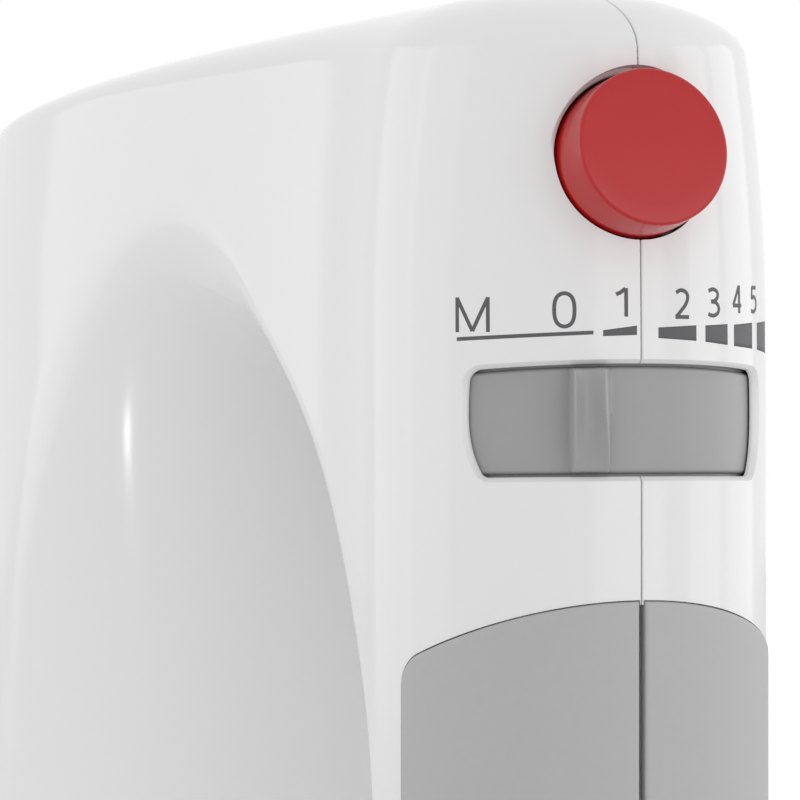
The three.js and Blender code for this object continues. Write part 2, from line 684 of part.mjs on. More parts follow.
// A worm wheel: straight teeth across a narrow face, on a hub that holds the beater's shaft.
function wormGear(x, phase) {
  const tip = GEAR_PITCH_RADIUS + 0.45 * WORM_MODULE;
  const rootRadius = GEAR_PITCH_RADIUS - WORM_MODULE;
  const shape = new THREE.Shape();
  const pitch = (2 * Math.PI) / GEAR_TEETH;
  for (let i = 0; i < GEAR_TEETH; i += 1) {
    const at = phase + i * pitch;
    const corners = [
      [rootRadius, -0.25],
      [tip, -0.13],
      [tip, 0.13],
      [rootRadius, 0.25],
    ];
    for (const [r, share] of corners) {
      const angle = at + share * pitch;
      const point = [r * Math.cos(angle), r * Math.sin(angle)];
      if (i === 0 && share === -0.25) shape.moveTo(...point);
      else shape.lineTo(...point);
    }
  }
  shape.closePath();
  const disc = new THREE.ExtrudeGeometry(shape, { depth: GEAR_FACE, bevelEnabled: false });
  disc.translate(0, 0, -GEAR_FACE / 2).rotateX(Math.PI / 2).translate(x, MOTOR_Y, SPINDLE_Z);
  return cut(
    join(toSolid(disc), rod("y", HUB_RADIUS, HUB_TOP, HUB_END, x, SPINDLE_Z, 24)),
    rod("y", BEATER_SHAFT_RADIUS + GAP, HUB_TOP - 1, HUB_END + 1, x, SPINDLE_Z, 20),
  );
}

for (const [side, name] of [
  [-1, "left"],
  [1, "right"],
]) {
  const x = side * SPINDLE_X;
  // The worm's thread meets a gap of the right wheel and passes either side of a left tooth.
  const phase = side > 0 ? Math.PI + Math.PI / GEAR_TEETH : 0;
  put(`worm_gear_${name}`, wormGear(x, phase), NYLON);
  const bush = join(
    ring("y", BUSH_RADIUS, HUB_RADIUS + GAP, DEPTH - 11, DEPTH + 0.8, x, SPINDLE_Z, 24),
    ring("y", BUSH_RADIUS + 2, HUB_RADIUS + GAP, DEPTH - 12.8, DEPTH - 10.6, x, SPINDLE_Z, 24),
  );
  put(`spindle_bush_${name}`, bush, NYLON);
}

// ---- Motor --------------------------------------------------------------------------------
// The worm's thread: a ridge carried along a helix round the shaft's core, closed at its ends.
function wormThread() {
  const pitch = Math.PI * WORM_MODULE;
  const turns = WORM_LENGTH / pitch;
  const rootRadius = WORM_PITCH_RADIUS - WORM_MODULE;
  const crest = WORM_PITCH_RADIUS + 0.6 * WORM_MODULE;
  const corners = [
    [rootRadius, -0.62],
    [rootRadius, 0.62],
    [crest, 0.3],
    [crest, -0.3],
    [rootRadius, -0.62],
  ];
  const around = Math.round(turns * 10);
  const surface = new ParametricGeometry(
    (u, v, target) => {
      const atEnd = u <= 0 || u >= 1;
      const [radius, height] = atEnd ? [rootRadius, 0] : corners[Math.round(v * 4)];
      const z = SPINDLE_Z + (u - 0.5) * WORM_LENGTH;
      const angle = ((z - SPINDLE_Z) / pitch) * 2 * Math.PI;
      return target.set(
        radius * Math.cos(angle),
        MOTOR_Y + radius * Math.sin(angle),
        z + height,
      );
    },
    around,
    4,
  );
  const solid = toSolid(surface);
  if (solid.volume() > 0) return solid;
  surface.index.array.reverse();
  return toSolid(surface);
}

const BEARING_Z = [20, 26];
const shaft = join(
  rod("z", SHAFT_RADIUS, BEARING_Z[0] - 2, GEARBOX.to + 2, 0, MOTOR_Y, 20),
  rod(
    "z",
    WORM_PITCH_RADIUS - WORM_MODULE + 0.15,
    SPINDLE_Z - WORM_LENGTH / 2 - 1,
    SPINDLE_Z + WORM_LENGTH / 2 + 1,
    0,
    MOTOR_Y,
    12,
  ),
  wormThread(),
);
put("motor_shaft", shaft, STEEL);

const slotCount = 12;
const core = cut(
  rod("z", ARMATURE_RADIUS, ARMATURE_REAR, ARMATURE_FRONT, 0, MOTOR_Y, 48),
  rod("z", SHAFT_RADIUS + GAP, ARMATURE_REAR - 1, ARMATURE_FRONT + 1, 0, MOTOR_Y, 20),
  ...Array.from({ length: slotCount }, (_, i) => armatureSlot(i, 1.4, 7.4, ARMATURE_RADIUS + 1, 1)),
);
put("armature_core", core, LAMINATION);

// One radial slot of the armature, or the bar of wire that lies in it.
function armatureSlot(i, half, inner, outer, over) {
  const bar = new THREE.BoxGeometry(outer - inner, 2 * half, ARMATURE_LENGTH + 2 * over);
  bar.translate((inner + outer) / 2, 0, (ARMATURE_REAR + ARMATURE_FRONT) / 2);
  return toSolid(bar.rotateZ((2 * Math.PI * i) / slotCount).translate(0, MOTOR_Y, 0));
}

const endTurn = COIL_SIDE - 1;
const winding = join(
  ring("z", 12, 6, ARMATURE_REAR - GAP - endTurn, ARMATURE_REAR - GAP, 0, MOTOR_Y),
  ring("z", 12, 6, ARMATURE_FRONT + GAP, ARMATURE_FRONT + GAP + endTurn, 0, MOTOR_Y),
  ...Array.from({ length: slotCount }, (_, i) => armatureSlot(i, 1.1, 7.8, 11.6, 1)),
);
put("armature_winding", winding, COPPER);
const commutatorFront = ARMATURE_REAR - GAP - endTurn - GAP;
put(
  "commutator",
  ring(
    "z",
    COMMUTATOR_RADIUS,
    SHAFT_RADIUS + GAP,
    commutatorFront - COMMUTATOR_LENGTH,
    commutatorFront,
    0,
    MOTOR_Y,
  ),
  COPPER,
);

const FAN_FROM = ARMATURE_FRONT + GAP + COIL_SIDE + 3;
const fanHub = ring("z", 6, SHAFT_RADIUS + GAP, FAN_FROM, FAN_FROM + 8, 0, MOTOR_Y);
const fanDisc = ring("z", FAN_RADIUS, SHAFT_RADIUS + GAP, FAN_FROM, FAN_FROM + 1.4, 0, MOTOR_Y, 36);
const blades = Array.from({ length: FAN_BLADES }, (_, i) => {
  const blade = new THREE.BoxGeometry(FAN_RADIUS - 5.5, 1.2, 7);
  blade.translate((FAN_RADIUS + 4.9) / 2, 0, FAN_FROM + 4);
  return toSolid(blade.rotateZ((2 * Math.PI * i) / FAN_BLADES).translate(0, MOTOR_Y, 0));
});
put("cooling_fan", join(fanHub, fanDisc, ...blades), BLACK_PLASTIC);

const bearing = (from, to, outer) => ring("z", outer, SHAFT_RADIUS + GAP, from, to, 0, MOTOR_Y, 20);
put("rear_bearing", bearing(BEARING_Z[0], BEARING_Z[1], 6), BRASS);
put("front_bearing", bearing(GEARBOX.from - 1.5, GEARBOX.from + 4, SHAFT_RADIUS + 4), BRASS);

const stator = cut(
  box(
    -STATOR_HALF_WIDTH,
    STATOR_HALF_WIDTH,
    MOTOR_Y - STATOR_HALF_DEPTH,
    MOTOR_Y + STATOR_HALF_DEPTH,
    ARMATURE_REAR,
    ARMATURE_FRONT,
  ),
  rod(
    "z",
    ARMATURE_RADIUS + AIR_GAP,
    ARMATURE_REAR - 1,
    ARMATURE_FRONT + 1,
    0,
    MOTOR_Y,
    40,
  ),
  ...[-1, 1].flatMap((x) =>
    [-1, 1].map((y) => {
      const at = [x * 9, x * (STATOR_HALF_WIDTH - 7)].sort((a, b) => a - b);
      const to = [MOTOR_Y + y * 9.3, MOTOR_Y + y * 16.5].sort((a, b) => a - b);
      return box(...at, ...to, ARMATURE_REAR - 1, ARMATURE_FRONT + 1);
    }),
  ),
);
put("stator_core", stator, LAMINATION);

for (const [side, name] of [
  [-1, "left"],
  [1, "right"],
]) {
  const near = STATOR_HALF_WIDTH - 7 - GAP - COIL_THICK;
  const at = [side * near, side * (near + COIL_THICK)].sort((a, b) => a - b);
  const coil = cut(
    box(
      ...at,
      MOTOR_Y - 15.4,
      MOTOR_Y + 15.4,
      ARMATURE_REAR - GAP - COIL_SIDE,
      ARMATURE_FRONT + GAP + COIL_SIDE,
    ),
    box(-60, 60, MOTOR_Y - 9.6, MOTOR_Y + 9.6, ARMATURE_REAR - GAP, ARMATURE_FRONT + GAP),
  );
  put(`field_coil_${name}`, coil, COPPER);

  const brushZ = commutatorFront - COMMUTATOR_LENGTH / 2;
  const along = (from, to) => [side * from, side * to].sort((a, b) => a - b);
  put(
    `brush_${name}`,
    box(...along(COMMUTATOR_RADIUS + GAP, 19), MOTOR_Y - 2, MOTOR_Y + 2, brushZ - 3, brushZ + 3),
    CARBON,
  );
  const holder = cut(
    box(...along(COMMUTATOR_RADIUS + 2, 23), MOTOR_Y - 4, MOTOR_Y + 4, brushZ - 5, brushZ + 5),
    box(
      ...along(COMMUTATOR_RADIUS, 21),
      MOTOR_Y - 2 - GAP,
      MOTOR_Y + 2 + GAP,
      brushZ - 3 - GAP,
      brushZ + 3 + GAP,
    ),
  );
  put(`brush_holder_${name}`, holder, BRASS);
}

const bracket = join(
  cut(
    box(-26, 26, MOTOR_Y - 9, MOTOR_Y + 9, BEARING_Z[0] - 1, BEARING_Z[1] + 1),
    rod("z", 6 + GAP, BEARING_Z[0] - 3, BEARING_Z[1] + 3, 0, MOTOR_Y, 20),
  ),
  ...[-1, 1].map((side) => {
    const at = [side * (23 + GAP), side * 26].sort((a, b) => a - b);
    return box(...at, MOTOR_Y - 6, MOTOR_Y + 6, BEARING_Z[0], ARMATURE_REAR - GAP);
  }),
);
put("rear_bracket", bracket, BLACK_PLASTIC);

// ---- Beaters ------------------------------------------------------------------------------
// Four bowed wires from the shaft's collar to its tip, each a tube along a smooth curve.
function beater(x, turn) {
  const collar = DEPTH + 42;
  const tip = DEPTH + BEATER_REACH;
  const bow = [
    [2, collar],
    [BEATER_RADIUS * 0.75, collar + 12],
    [BEATER_RADIUS, collar + 34],
    [BEATER_RADIUS * 0.97, tip - 22],
    [BEATER_RADIUS * 0.62, tip - 6],
    [0, tip - BEATER_WIRE],
  ];
  const section = new THREE.Shape();
  section.absarc(0, 0, BEATER_WIRE, 0, 2 * Math.PI);
  const wires = [0, 1, 2, 3].map((i) => {
    const angle = turn + (i * Math.PI) / 2;
    const points = bow.map(
      ([r, y]) => new THREE.Vector3(r * Math.cos(angle), y, r * Math.sin(angle)),
    );
    return toSolid(
      new THREE.ExtrudeGeometry(section, {
        steps: 14,
        curveSegments: 3,
        extrudePath: new THREE.CatmullRomCurve3(points),
      }),
    );
  });
  const shaftRod = rod("y", BEATER_SHAFT_RADIUS, SHAFT_TOP, collar + 4, 0, 0, 16);
  const knob = rod("y", 3.4, tip - 4, tip, 0, 0, 12);
  const made = join(shaftRod, knob, ...wires);
  return toSolid(toGeometry(made).translate(x, 0, SPINDLE_Z));
}

for (const [side, name] of [
  [-1, "left"],
  [1, "right"],
]) {
  const x = side * SPINDLE_X;
  const turn = side < 0 ? 0 : Math.PI / 4;
  put(`beater_${name}`, beater(x, turn), CHROME);
  put(
    `beater_collar_${name}`,
    ring("y", 6.5, BEATER_SHAFT_RADIUS + GAP, DEPTH + 3, DEPTH + 7, x, SPINDLE_Z, 24),
    side < 0 ? GREY_SWITCH : BLACK_PLASTIC,
  );
}

// ---- Cord inlet and wiring pieces ---------------------------------------------------------
const inletY = topLine(GLAND.z);
const gland = join(
  ring("y", GLAND.outer, GLAND.bore, inletY - 1.5, inletY + GLAND.depth, 0, GLAND.z, 20),
  ring(
    "y",
    GLAND.flange,
    GLAND.bore,
    inletY + GLAND.depth - 2,
    inletY + GLAND.depth,
    0,
    GLAND.z,
    20,
  ),
);
put("cord_gland", gland, BLACK_PLASTIC);
const terminalY = inletY + GLAND.depth + GAP;
put("terminal_block", box(-9, 9, terminalY, terminalY + 10, GLAND.z - 7, GLAND.z + 6), NYLON);
put(
  "suppression_capacitor",
  box(-5.5, 5.5, BOARD.y + BOARD.thick + GAP, BOARD.y + 8, BOARD.from, SWITCH_Z - 10 - GAP),
  BRASS,
);

// ---- Screws -------------------------------------------------------------------------------
for (const { name, y, z } of SCREWS) {
  const screw = join(
    rod("x", SCREW_RADIUS, SCREW_SEAT - SCREW_LENGTH, SCREW_SEAT + GAP + 1, y, z, 12),
    rod("x", SCREW_HEAD, SCREW_SEAT + GAP, SCREW_SEAT + GAP + 2, y, z, 16),
  );
  const slotCut = box(
    SCREW_SEAT + GAP + 1.2,
    SCREW_SEAT + GAP + 3,
    y - 0.4,
    y + 0.4,
    z - 3,
    z + 3,
  );
  put(name, cut(screw, slotCut), STEEL);
}

// The origin is under the middle of the whole object's box, on the surface it stands on.
root.updateMatrixWorld(true);
const extent = new THREE.Box3().setFromObject(model, true);
model.position.set(
  -(extent.min.x + extent.max.x) / 2,
  -(extent.min.y + extent.max.y) / 2,
  -extent.min.z,
);

export default root;
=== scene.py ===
"""Looks of an electric hand mixer: glossy white housing halves, grey soft inlays on the handle,
a sliding speed switch with its printed scale, a red eject button, two wire beaters and the
working parts inside. Shapes are worked out in millimetres: x across the seam, depth from the
top of the handle, and z up towards the nose."""

import math

import bpy
import numpy as np
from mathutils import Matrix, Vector


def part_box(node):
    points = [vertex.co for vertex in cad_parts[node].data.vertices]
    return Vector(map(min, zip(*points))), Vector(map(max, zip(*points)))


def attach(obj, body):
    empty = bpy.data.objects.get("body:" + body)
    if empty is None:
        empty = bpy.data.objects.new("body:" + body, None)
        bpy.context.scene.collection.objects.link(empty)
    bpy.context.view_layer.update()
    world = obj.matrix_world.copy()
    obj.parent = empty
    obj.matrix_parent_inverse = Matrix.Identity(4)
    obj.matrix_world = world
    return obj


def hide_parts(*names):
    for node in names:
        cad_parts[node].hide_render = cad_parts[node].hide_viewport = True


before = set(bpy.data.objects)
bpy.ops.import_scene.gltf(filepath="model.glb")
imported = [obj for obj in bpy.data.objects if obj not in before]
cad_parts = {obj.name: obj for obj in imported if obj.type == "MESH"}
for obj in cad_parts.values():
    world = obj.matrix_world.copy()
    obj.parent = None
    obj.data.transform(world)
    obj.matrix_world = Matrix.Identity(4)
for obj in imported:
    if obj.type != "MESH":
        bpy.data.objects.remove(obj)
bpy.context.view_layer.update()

# ---- Sizes of the real pieces, in millimetres ----------------------------------------------
LENGTH = 195.0
DEPTH = 142.0
GRIP_RADIUS = 25.5
BODY_HALF_WIDTH = 45.0
SHOULDER_DEPTH = 113.0
WALL = 2.6
TOP_BEND_START = 140.0
TOP_BEND_RADIUS = 900.0
HEEL_BEND_START = 60.0
HEEL_BEND_RADIUS = 200.0
NOSE_ROUND = 8.0
NOSE_TAPER_START = 155.0
NOSE_TAPER_RADIUS = 215.0
UNDER_ROUND = 30.0
HEEL_ROUND = 16.0
HEEL_OVERRUN = 6.0
SEAM_HALF = 0.07
SEAM_ROUND = 0.22
SWITCH_Z = 142.5
SLOT_HEIGHT = 13.3
SLOT_HALF_ANGLE = 48.2
RIDGE_ANGLE = -14.5
RIDGE_HEIGHT = 3.35
RIDGE_HALF_WIDTH = 2.55
BAND_RADIUS = 24.25
BAND_THICKNESS = 1.5
BAND_COVER_ANGLE = 0.8
SLIDE_ANGLE_FORWARD = 52.5
SLIDE_ANGLE_BACK = 23.5
CHANNEL_HALF_ANGLE = 127.0
CHANNEL_LOW = -9.3
CHANNEL_HIGH = 9.0
CHANNEL_OUTER_RADIUS = 24.5
CHANNEL_INNER_RADIUS = 21.5
BUTTON_Z = 174.0
BUTTON_RADIUS = 9.3
BUTTON_PROUD = 4.3
INLAY_SIDE = 16.5
INLAY_FRONT = 121.4
INLAY_REAR = 30.0
INLAY_SLOPE = 0.46
SPINDLE_X = 17.0
SPINDLE_Z = 122.0
BEATER_TIP = 267.0
GLAND_Z = 20.0
VENT_WIDTH = 2.4
SCREW_BORE_RADIUS = 3.2
SOCKET_BORE_RADIUS = 8.6
GLAND_BORE_RADIUS = 6.15
SEAM_GROOVE = 0.42

# The frame's own middle, found from the beater's tip.
DEPTH_SHIFT = BEATER_TIP - 1000.0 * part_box("beater_left")[1][1]


def to_frame(points):
    """Design millimetres (x, depth, z) to the frame's metres: depth is shifted to the middle."""
    out = np.array(points, dtype=float)
    out[..., 1] -= DEPTH_SHIFT
    return out * 0.001


# ---- Camera --------------------------------------------------------------------------------
camera = bpy.data.objects.new("camera", bpy.data.cameras.new("camera"))
bpy.context.scene.collection.objects.link(camera)
bpy.context.scene.camera = camera
camera.data.sensor_width = 36.0
camera.data.lens = 229.5
camera.data.clip_start = 0.01
camera.data.clip_end = 20.0

VIEW_YAW = math.radians(21.3)
VIEW_DISTANCE = 600.0
VIEW_RIGHT = 28.47
VIEW_DOWN = 2.6
ahead = Vector((math.sin(VIEW_YAW), math.cos(VIEW_YAW), 0.0))
right = ahead.cross(Vector((0, 0, 1))).normalized()
above = right.cross(ahead)
switch_point = Vector(to_frame(np.array([0.0, 0.0, SWITCH_Z])))
camera.location = (
    switch_point
    - ahead * VIEW_DISTANCE * 0.001
    - right * VIEW_RIGHT * 0.001
    + above * VIEW_DOWN * 0.001
)
camera.rotation_euler = ahead.to_track_quat("-Z", "Y").to_euler()


# ---- Housing surface -----------------------------------------------------------------------
def top_line(z):
    """Depth of the handle's top at height z: zero, then a parabola beyond each bend."""
    nose = np.maximum(0.0, z - TOP_BEND_START)
    heel = np.maximum(0.0, HEEL_BEND_START - z)
    return nose**2 / (2 * TOP_BEND_RADIUS) + heel**2 / (2 * HEEL_BEND_RADIUS)


def nose_line(depth):
    """Height of the nose at a depth: a shallow parabola that falls towards the underside."""
    return LENGTH - (depth - GRIP_RADIUS) ** 2 / (DEPTH * 9.7)


def full_width(depth, z):
    """Half width before the edges are rounded: the handle's radius, eased (3t^2 - 2t^3) out to
    the motor housing's half width, less a parabola that narrows it near the nose."""
    t = np.clip((depth - GRIP_RADIUS) / (SHOULDER_DEPTH - GRIP_RADIUS), 0, 1)
    narrow = np.maximum(0.0, z - NOSE_TAPER_START) ** 2 / (2 * NOSE_TAPER_RADIUS)
    return GRIP_RADIUS + (BODY_HALF_WIDTH - GRIP_RADIUS) * t * t * (3 - 2 * t) - narrow


def fullness(depth, z, inset):
    """One, less a power of how far a point is inside the round of each outline edge."""

    def short(distance, round_size):
        return np.maximum(0.0, 1 - (distance - inset) / (round_size - inset))

    return (
        1
        - short(depth - top_line(z), GRIP_RADIUS) ** 2
        - short(nose_line(depth) - z, NOSE_ROUND) ** 2
        - short(DEPTH - depth, UNDER_ROUND) ** 2.6
        - short(z + HEEL_OVERRUN, HEEL_ROUND) ** 3
    )


def half_width(depth, z, inset):
    """The full width times the square root of the fullness."""
    return (full_width(depth, z) - inset) * np.sqrt(np.maximum(0.0, fullness(depth, z, inset)))


# Stations round the finger opening: edge (depth, z), seam line (depth, z), roundness of the
# wall between them, and how far the corner at the edge is softened.
STATIONS = np.array(
    [
        [24, 72, 29.5, 72, 1, 2.2],
        [24, 98, 29.5, 97, 1, 2.2],
        [28.6, 116, 34.5, 114, 1, 2.2],
        [36.4, 133.6, 42.5, 128.5, 1, 2.2],
        [44.8, 146.6, 51, 138, 1.05, 2.0],
        [53.5, 156.5, 58, 144, 1.15, 2.6],
        [63.5, 163, 64, 146.5, 1.25, 6.5],
        [77, 165, 69, 144, 1.3, 4.5],
        [92.5, 151, 71.5, 133, 1.3, 3.4],
        [107, 121, 72, 109, 1.3, 3.2],
        [112, 84, 72, 84, 1.35, 3.2],
        [107, 50, 70, 60, 1.4, 3.4],
        [86, 27, 62, 47, 1.4, 3.0],
        [58, 28, 52, 43, 1.3, 2.2],
        [35, 35, 39.5, 48, 1.15, 2.2],
        [26, 50, 32.5, 57, 1, 2.2],
    ]
)


def closed_spline(values, t):
    """Closed cubic spline through rows of values, evenly spaced: second differences solved from
    a ring of equations (1, 4, 1), then each span is its own cubic."""
    n = len(values)
    ring = 4 * np.eye(n) + np.roll(np.eye(n), 1, axis=0) + np.roll(np.eye(n), -1, axis=0)
    bend = np.roll(values, 1, axis=0) - 2 * values + np.roll(values, -1, axis=0)
    curve = np.linalg.solve(ring, 6 * bend)
    at = (np.asarray(t) % 1.0) * n
    i = np.floor(at).astype(int) % n
    j = (i + 1) % n
    b = (at - np.floor(at))[:, None]
    a = 1 - b
    return (
        a * values[i]
        + b * values[j]
        + ((a**3 - a) * curve[i] + (b**3 - b) * curve[j]) / 6
    )


def along(path, targets):
    """Points at given lengths along many paths at once: path is (paths, points, 2)."""
    steps = np.linalg.norm(np.diff(path, axis=1), axis=2)
    length = np.concatenate([np.zeros((len(path), 1)), np.cumsum(steps, axis=1)], axis=1)
    where = (length[:, None, :] <= targets[:, :, None]).sum(-1) - 1
    where = np.clip(where, 0, path.shape[1] - 2)
    start = np.take_along_axis(length, where, 1)
    span = np.maximum(np.take_along_axis(length, where + 1, 1) - start, 1e-9)
    share = ((targets - start) / span)[..., None]
    low = np.take_along_axis(path, where[..., None], 1)
    high = np.take_along_axis(path, where[..., None] + 1, 1)
    return low + (high - low) * share


def housing_sections(around, rows, inset):
    """Sections of the housing at evenly spaced places round the opening, as (x, t) where t is
    measured from the edge along the outward line. Outer part: x = half width. Inner part:
    x = W cos a, t = -D sin(a)^(2/roundness). The corner between them is replaced by a
    quadratic curve with legs of the stations' softening. Returns x, depth and z grids."""
    ring = closed_spline(STATIONS, np.arange(around) / around)
    edge, seam, roundness = ring[:, 0:2], ring[:, 2:4], np.clip(ring[:, 4:5], 1, 2)
    outward = edge - seam
    gap = np.linalg.norm(outward, axis=1, keepdims=True)
    outward = outward / gap
    edge = edge + outward * inset
    inside = np.zeros((around, 1))
    outside = np.full((around, 1), LENGTH + DEPTH)
    for _ in range(44):
        middle = (inside + outside) / 2
        at = edge + outward * middle
        full = fullness(at[:, 0:1], at[:, 1:2], inset) > 0
        inside = np.where(full, middle, inside)
        outside = np.where(full, outside, middle)
    reach = inside * np.cos(np.linspace(0, math.pi / 2, 200))[None, :]
    outer_x = half_width(
        edge[:, 0:1] + outward[:, 0:1] * reach, edge[:, 1:2] + outward[:, 1:2] * reach, inset
    )
    angle = np.linspace(0, math.pi / 2, 120)[None, 1:]
    inner_x = outer_x[:, -1:] * np.cos(angle)
    inner_t = -gap * np.sin(angle) ** (2 / roundness)
    path = np.stack(
        [np.concatenate([outer_x, inner_x], 1), np.concatenate([reach, inner_t], 1)], axis=2
    )
    steps = np.linalg.norm(np.diff(path, axis=1), axis=2)
    corner = steps[:, :199].sum(1, keepdims=True)
    total = steps.sum(1, keepdims=True)
    leg = np.minimum(np.maximum(ring[:, 5:6], 1.0), 0.45 * np.minimum(corner, total - corner))
    first, turn, last = rows
    start = SEAM_ROUND + 0.06
    grid = np.concatenate(
        [
            start + (corner - leg - start) * np.linspace(0, 1, first, endpoint=False)[None, :],
            corner - leg + 2 * leg * np.linspace(0, 1, turn, endpoint=False)[None, :],
            corner + leg + (total - start - corner - leg) * np.linspace(0, 1, last)[None, :],
        ],
        axis=1,
    )
    made = along(path, grid)
    ends = along(path, np.concatenate([corner - leg, corner, corner + leg], axis=1))
    v = np.clip((grid - corner + leg) / (2 * leg), 0, 1)[..., None]
    curve = (1 - v) ** 2 * ends[:, 0:1] + 2 * v * (1 - v) * ends[:, 1:2] + v**2 * ends[:, 2:3]
    made = np.where((v > 0) & (v < 1), curve, made)
    x, t = made[..., 0], made[..., 1]
    depth = edge[:, 0:1] + outward[:, 0:1] * t
    z = edge[:, 1:2] + outward[:, 1:2] * t
    ends_t = np.concatenate([inside, -gap], axis=1)
    return x, depth, z, edge, outward, ends_t


def soft_floor(z, level, size):
    """z kept above a level by half of (z + root of z squared plus a size squared)."""
    over = z - level
    return level + 0.5 * (over + np.sqrt(over**2 + size**2))


def half_shell(side, around=420):
    """One housing half as a closed ring of closed profiles: out over the outside from the seam,
    in to the seam line in the opening with a small round at each seam edge, and back along the
    inside a wall's thickness away."""
    x, depth, z, edge, outward, ends_t = housing_sections(around, (84, 26, 46), 0.0)
    x = SEAM_HALF + x * (1 - SEAM_HALF / BODY_HALF_WIDTH)
    turn = np.linspace(0, math.pi / 2, 5)[None, :]
    round_x = np.repeat(SEAM_HALF + SEAM_ROUND * (1 - np.cos(turn)), around, 0)
    fall = SEAM_ROUND * (1 - np.sin(turn))
    first_t = ends_t[:, 0:1] - fall
    last_t = ends_t[:, 1:2] + fall[:, ::-1]
    outer = [np.concatenate([round_x, x, round_x[:, ::-1]], 1)]
    for axis, middle in ((0, depth), (1, z)):
        first = edge[:, axis, None] + outward[:, axis, None] * first_t
        last = edge[:, axis, None] + outward[:, axis, None] * last_t
        outer.append(np.concatenate([first, middle, last], 1))
    outer[2] = soft_floor(outer[2], 0.0, 1.0)
    ix, idepth, iz, _, _, _ = housing_sections(around, (12, 6, 8), WALL)
    ix = SEAM_HALF + np.maximum(ix - 0.3, 0)
    iz = soft_floor(iz, WALL, 0.4)
    ix[:, 0] = SEAM_HALF
    ix[:, -1] = SEAM_HALF
    grid = np.stack(
        [
            np.concatenate([outer[0], ix[:, ::-1]], 1) * side,
            np.concatenate([outer[1], idepth[:, ::-1]], 1),
            np.concatenate([outer[2], iz[:, ::-1]], 1),
        ],
        axis=2,
    )
    return grid


# ---- Meshes from grids ---------------------------------------------------------------------
def grid_faces(rows, columns, wrap_rows, wrap_columns, start=0):
    """Corner numbers of the quads of a grid, joined up at the wrapped sides."""
    i = np.arange(rows if wrap_rows else rows - 1)
    j = np.arange(columns if wrap_columns else columns - 1)
    i, j = np.meshgrid(i, j, indexing="ij")
    i2, j2 = (i + 1) % rows, (j + 1) % columns
    quads = np.stack([i * columns + j, i * columns + j2, i2 * columns + j2, i2 * columns + j], -1)
    return quads.reshape(-1, 4) + start


def volume_of(points, faces):
    """Six times the signed volume, from the first and second triangle of each quad."""
    a, b, c, d = (points[faces[:, k]] for k in range(4))
    return np.einsum("ij,ij->i", a, np.cross(b, c)).sum() + np.einsum(
        "ij,ij->i", a, np.cross(c, d)
    ).sum()


def new_mesh(name, parts):
    """One object from closed parts, each (points in design millimetres, quads). A part whose
    signed volume is negative has its quads turned, so that every face points outwards."""
    all_points, all_faces, count = [], [], 0
    for points, faces in parts:
        if volume_of(points, faces) < 0:
            faces = faces[:, ::-1]
        all_points.append(points)
        all_faces.append(faces + count)
        count += len(points)
    points = to_frame(np.concatenate(all_points))
    faces = np.concatenate(all_faces)
    mesh = bpy.data.meshes.new(name)
    mesh.vertices.add(len(points))
    mesh.vertices.foreach_set("co", points.ravel())
    mesh.loops.add(faces.size)
    mesh.loops.foreach_set("vertex_index", faces.ravel().astype(np.int32))
    mesh.polygons.add(len(faces))
    mesh.polygons.foreach_set("loop_start", np.arange(0, faces.size, 4, dtype=np.int32))
    mesh.update(calc_edges=True)
    mesh.validate()
    mesh.polygons.foreach_set("use_smooth", np.ones(len(mesh.polygons), dtype=bool))
    made = bpy.data.objects.new(name, mesh)
    bpy.context.scene.collection.objects.link(made)
    return made


def ring_part(grid):
    """A grid that closes on itself both ways."""
    rows, columns = grid.shape[:2]
    return grid.reshape(-1, 3), grid_faces(rows, columns, True, True)


def tube_part(grid):
    """A grid of rings (levels, around) closed by a middle point at each end."""
    rows, columns = grid.shape[:2]
    points = np.concatenate([grid.reshape(-1, 3), grid[0].mean(0)[None], grid[-1].mean(0)[None]])
    faces = grid_faces(rows, columns, False, True)
    j = np.arange(0, columns, 2)
    first = np.stack([j, np.full_like(j, rows * columns), (j + 2) % columns, (j + 1) % columns], -1)
    last = np.stack([j, (j + 1) % columns, (j + 2) % columns, np.full_like(j, 0)], -1)
    last = last + (rows - 1) * columns
    last[:, 3] = rows * columns + 1
    return points, np.concatenate([faces, first, last])


def block_part(grids):
    """Grids of the same size, one above the other: the first and last are whole, and borders
    join them all."""
    rows, columns = grids[0].shape[:2]
    count = rows * columns
    index = np.arange(count).reshape(rows, columns)
    border = np.concatenate([index[0, :-1], index[:-1, -1], index[-1, :0:-1], index[:0:-1, 0]])
    flat = [g.reshape(-1, 3) for g in grids]
    points = [flat[0], flat[-1]] + [g[border] for g in flat[1:-1]]
    rings = [border] + [
        2 * count + k * len(border) + np.arange(len(border)) for k in range(len(grids) - 2)
    ]
    rings.append(border + count)
    lower = grid_faces(rows, columns, False, False)
    faces = [lower, lower[:, ::-1] + count]
    for below, over in zip(rings[:-1], rings[1:]):
        faces.append(np.stack([np.roll(below, -1), below, over, np.roll(over, -1)], -1))
    return np.concatenate(points), np.concatenate(faces)


def slab_part(top, bottom):
    """Two grids of the same size, joined round their border."""
    return block_part([top, bottom])


def lathe(profile, around=72):
    """Rings of a (radius, height) profile about the local z axis."""
    angle = np.linspace(0, 2 * math.pi, around, endpoint=False)
    radius, height = np.array(profile, dtype=float).T
    return np.stack(
        [
            radius[:, None] * np.cos(angle),
            radius[:, None] * np.sin(angle),
            np.repeat(height[:, None], around, 1),
        ],
        axis=2,
    )


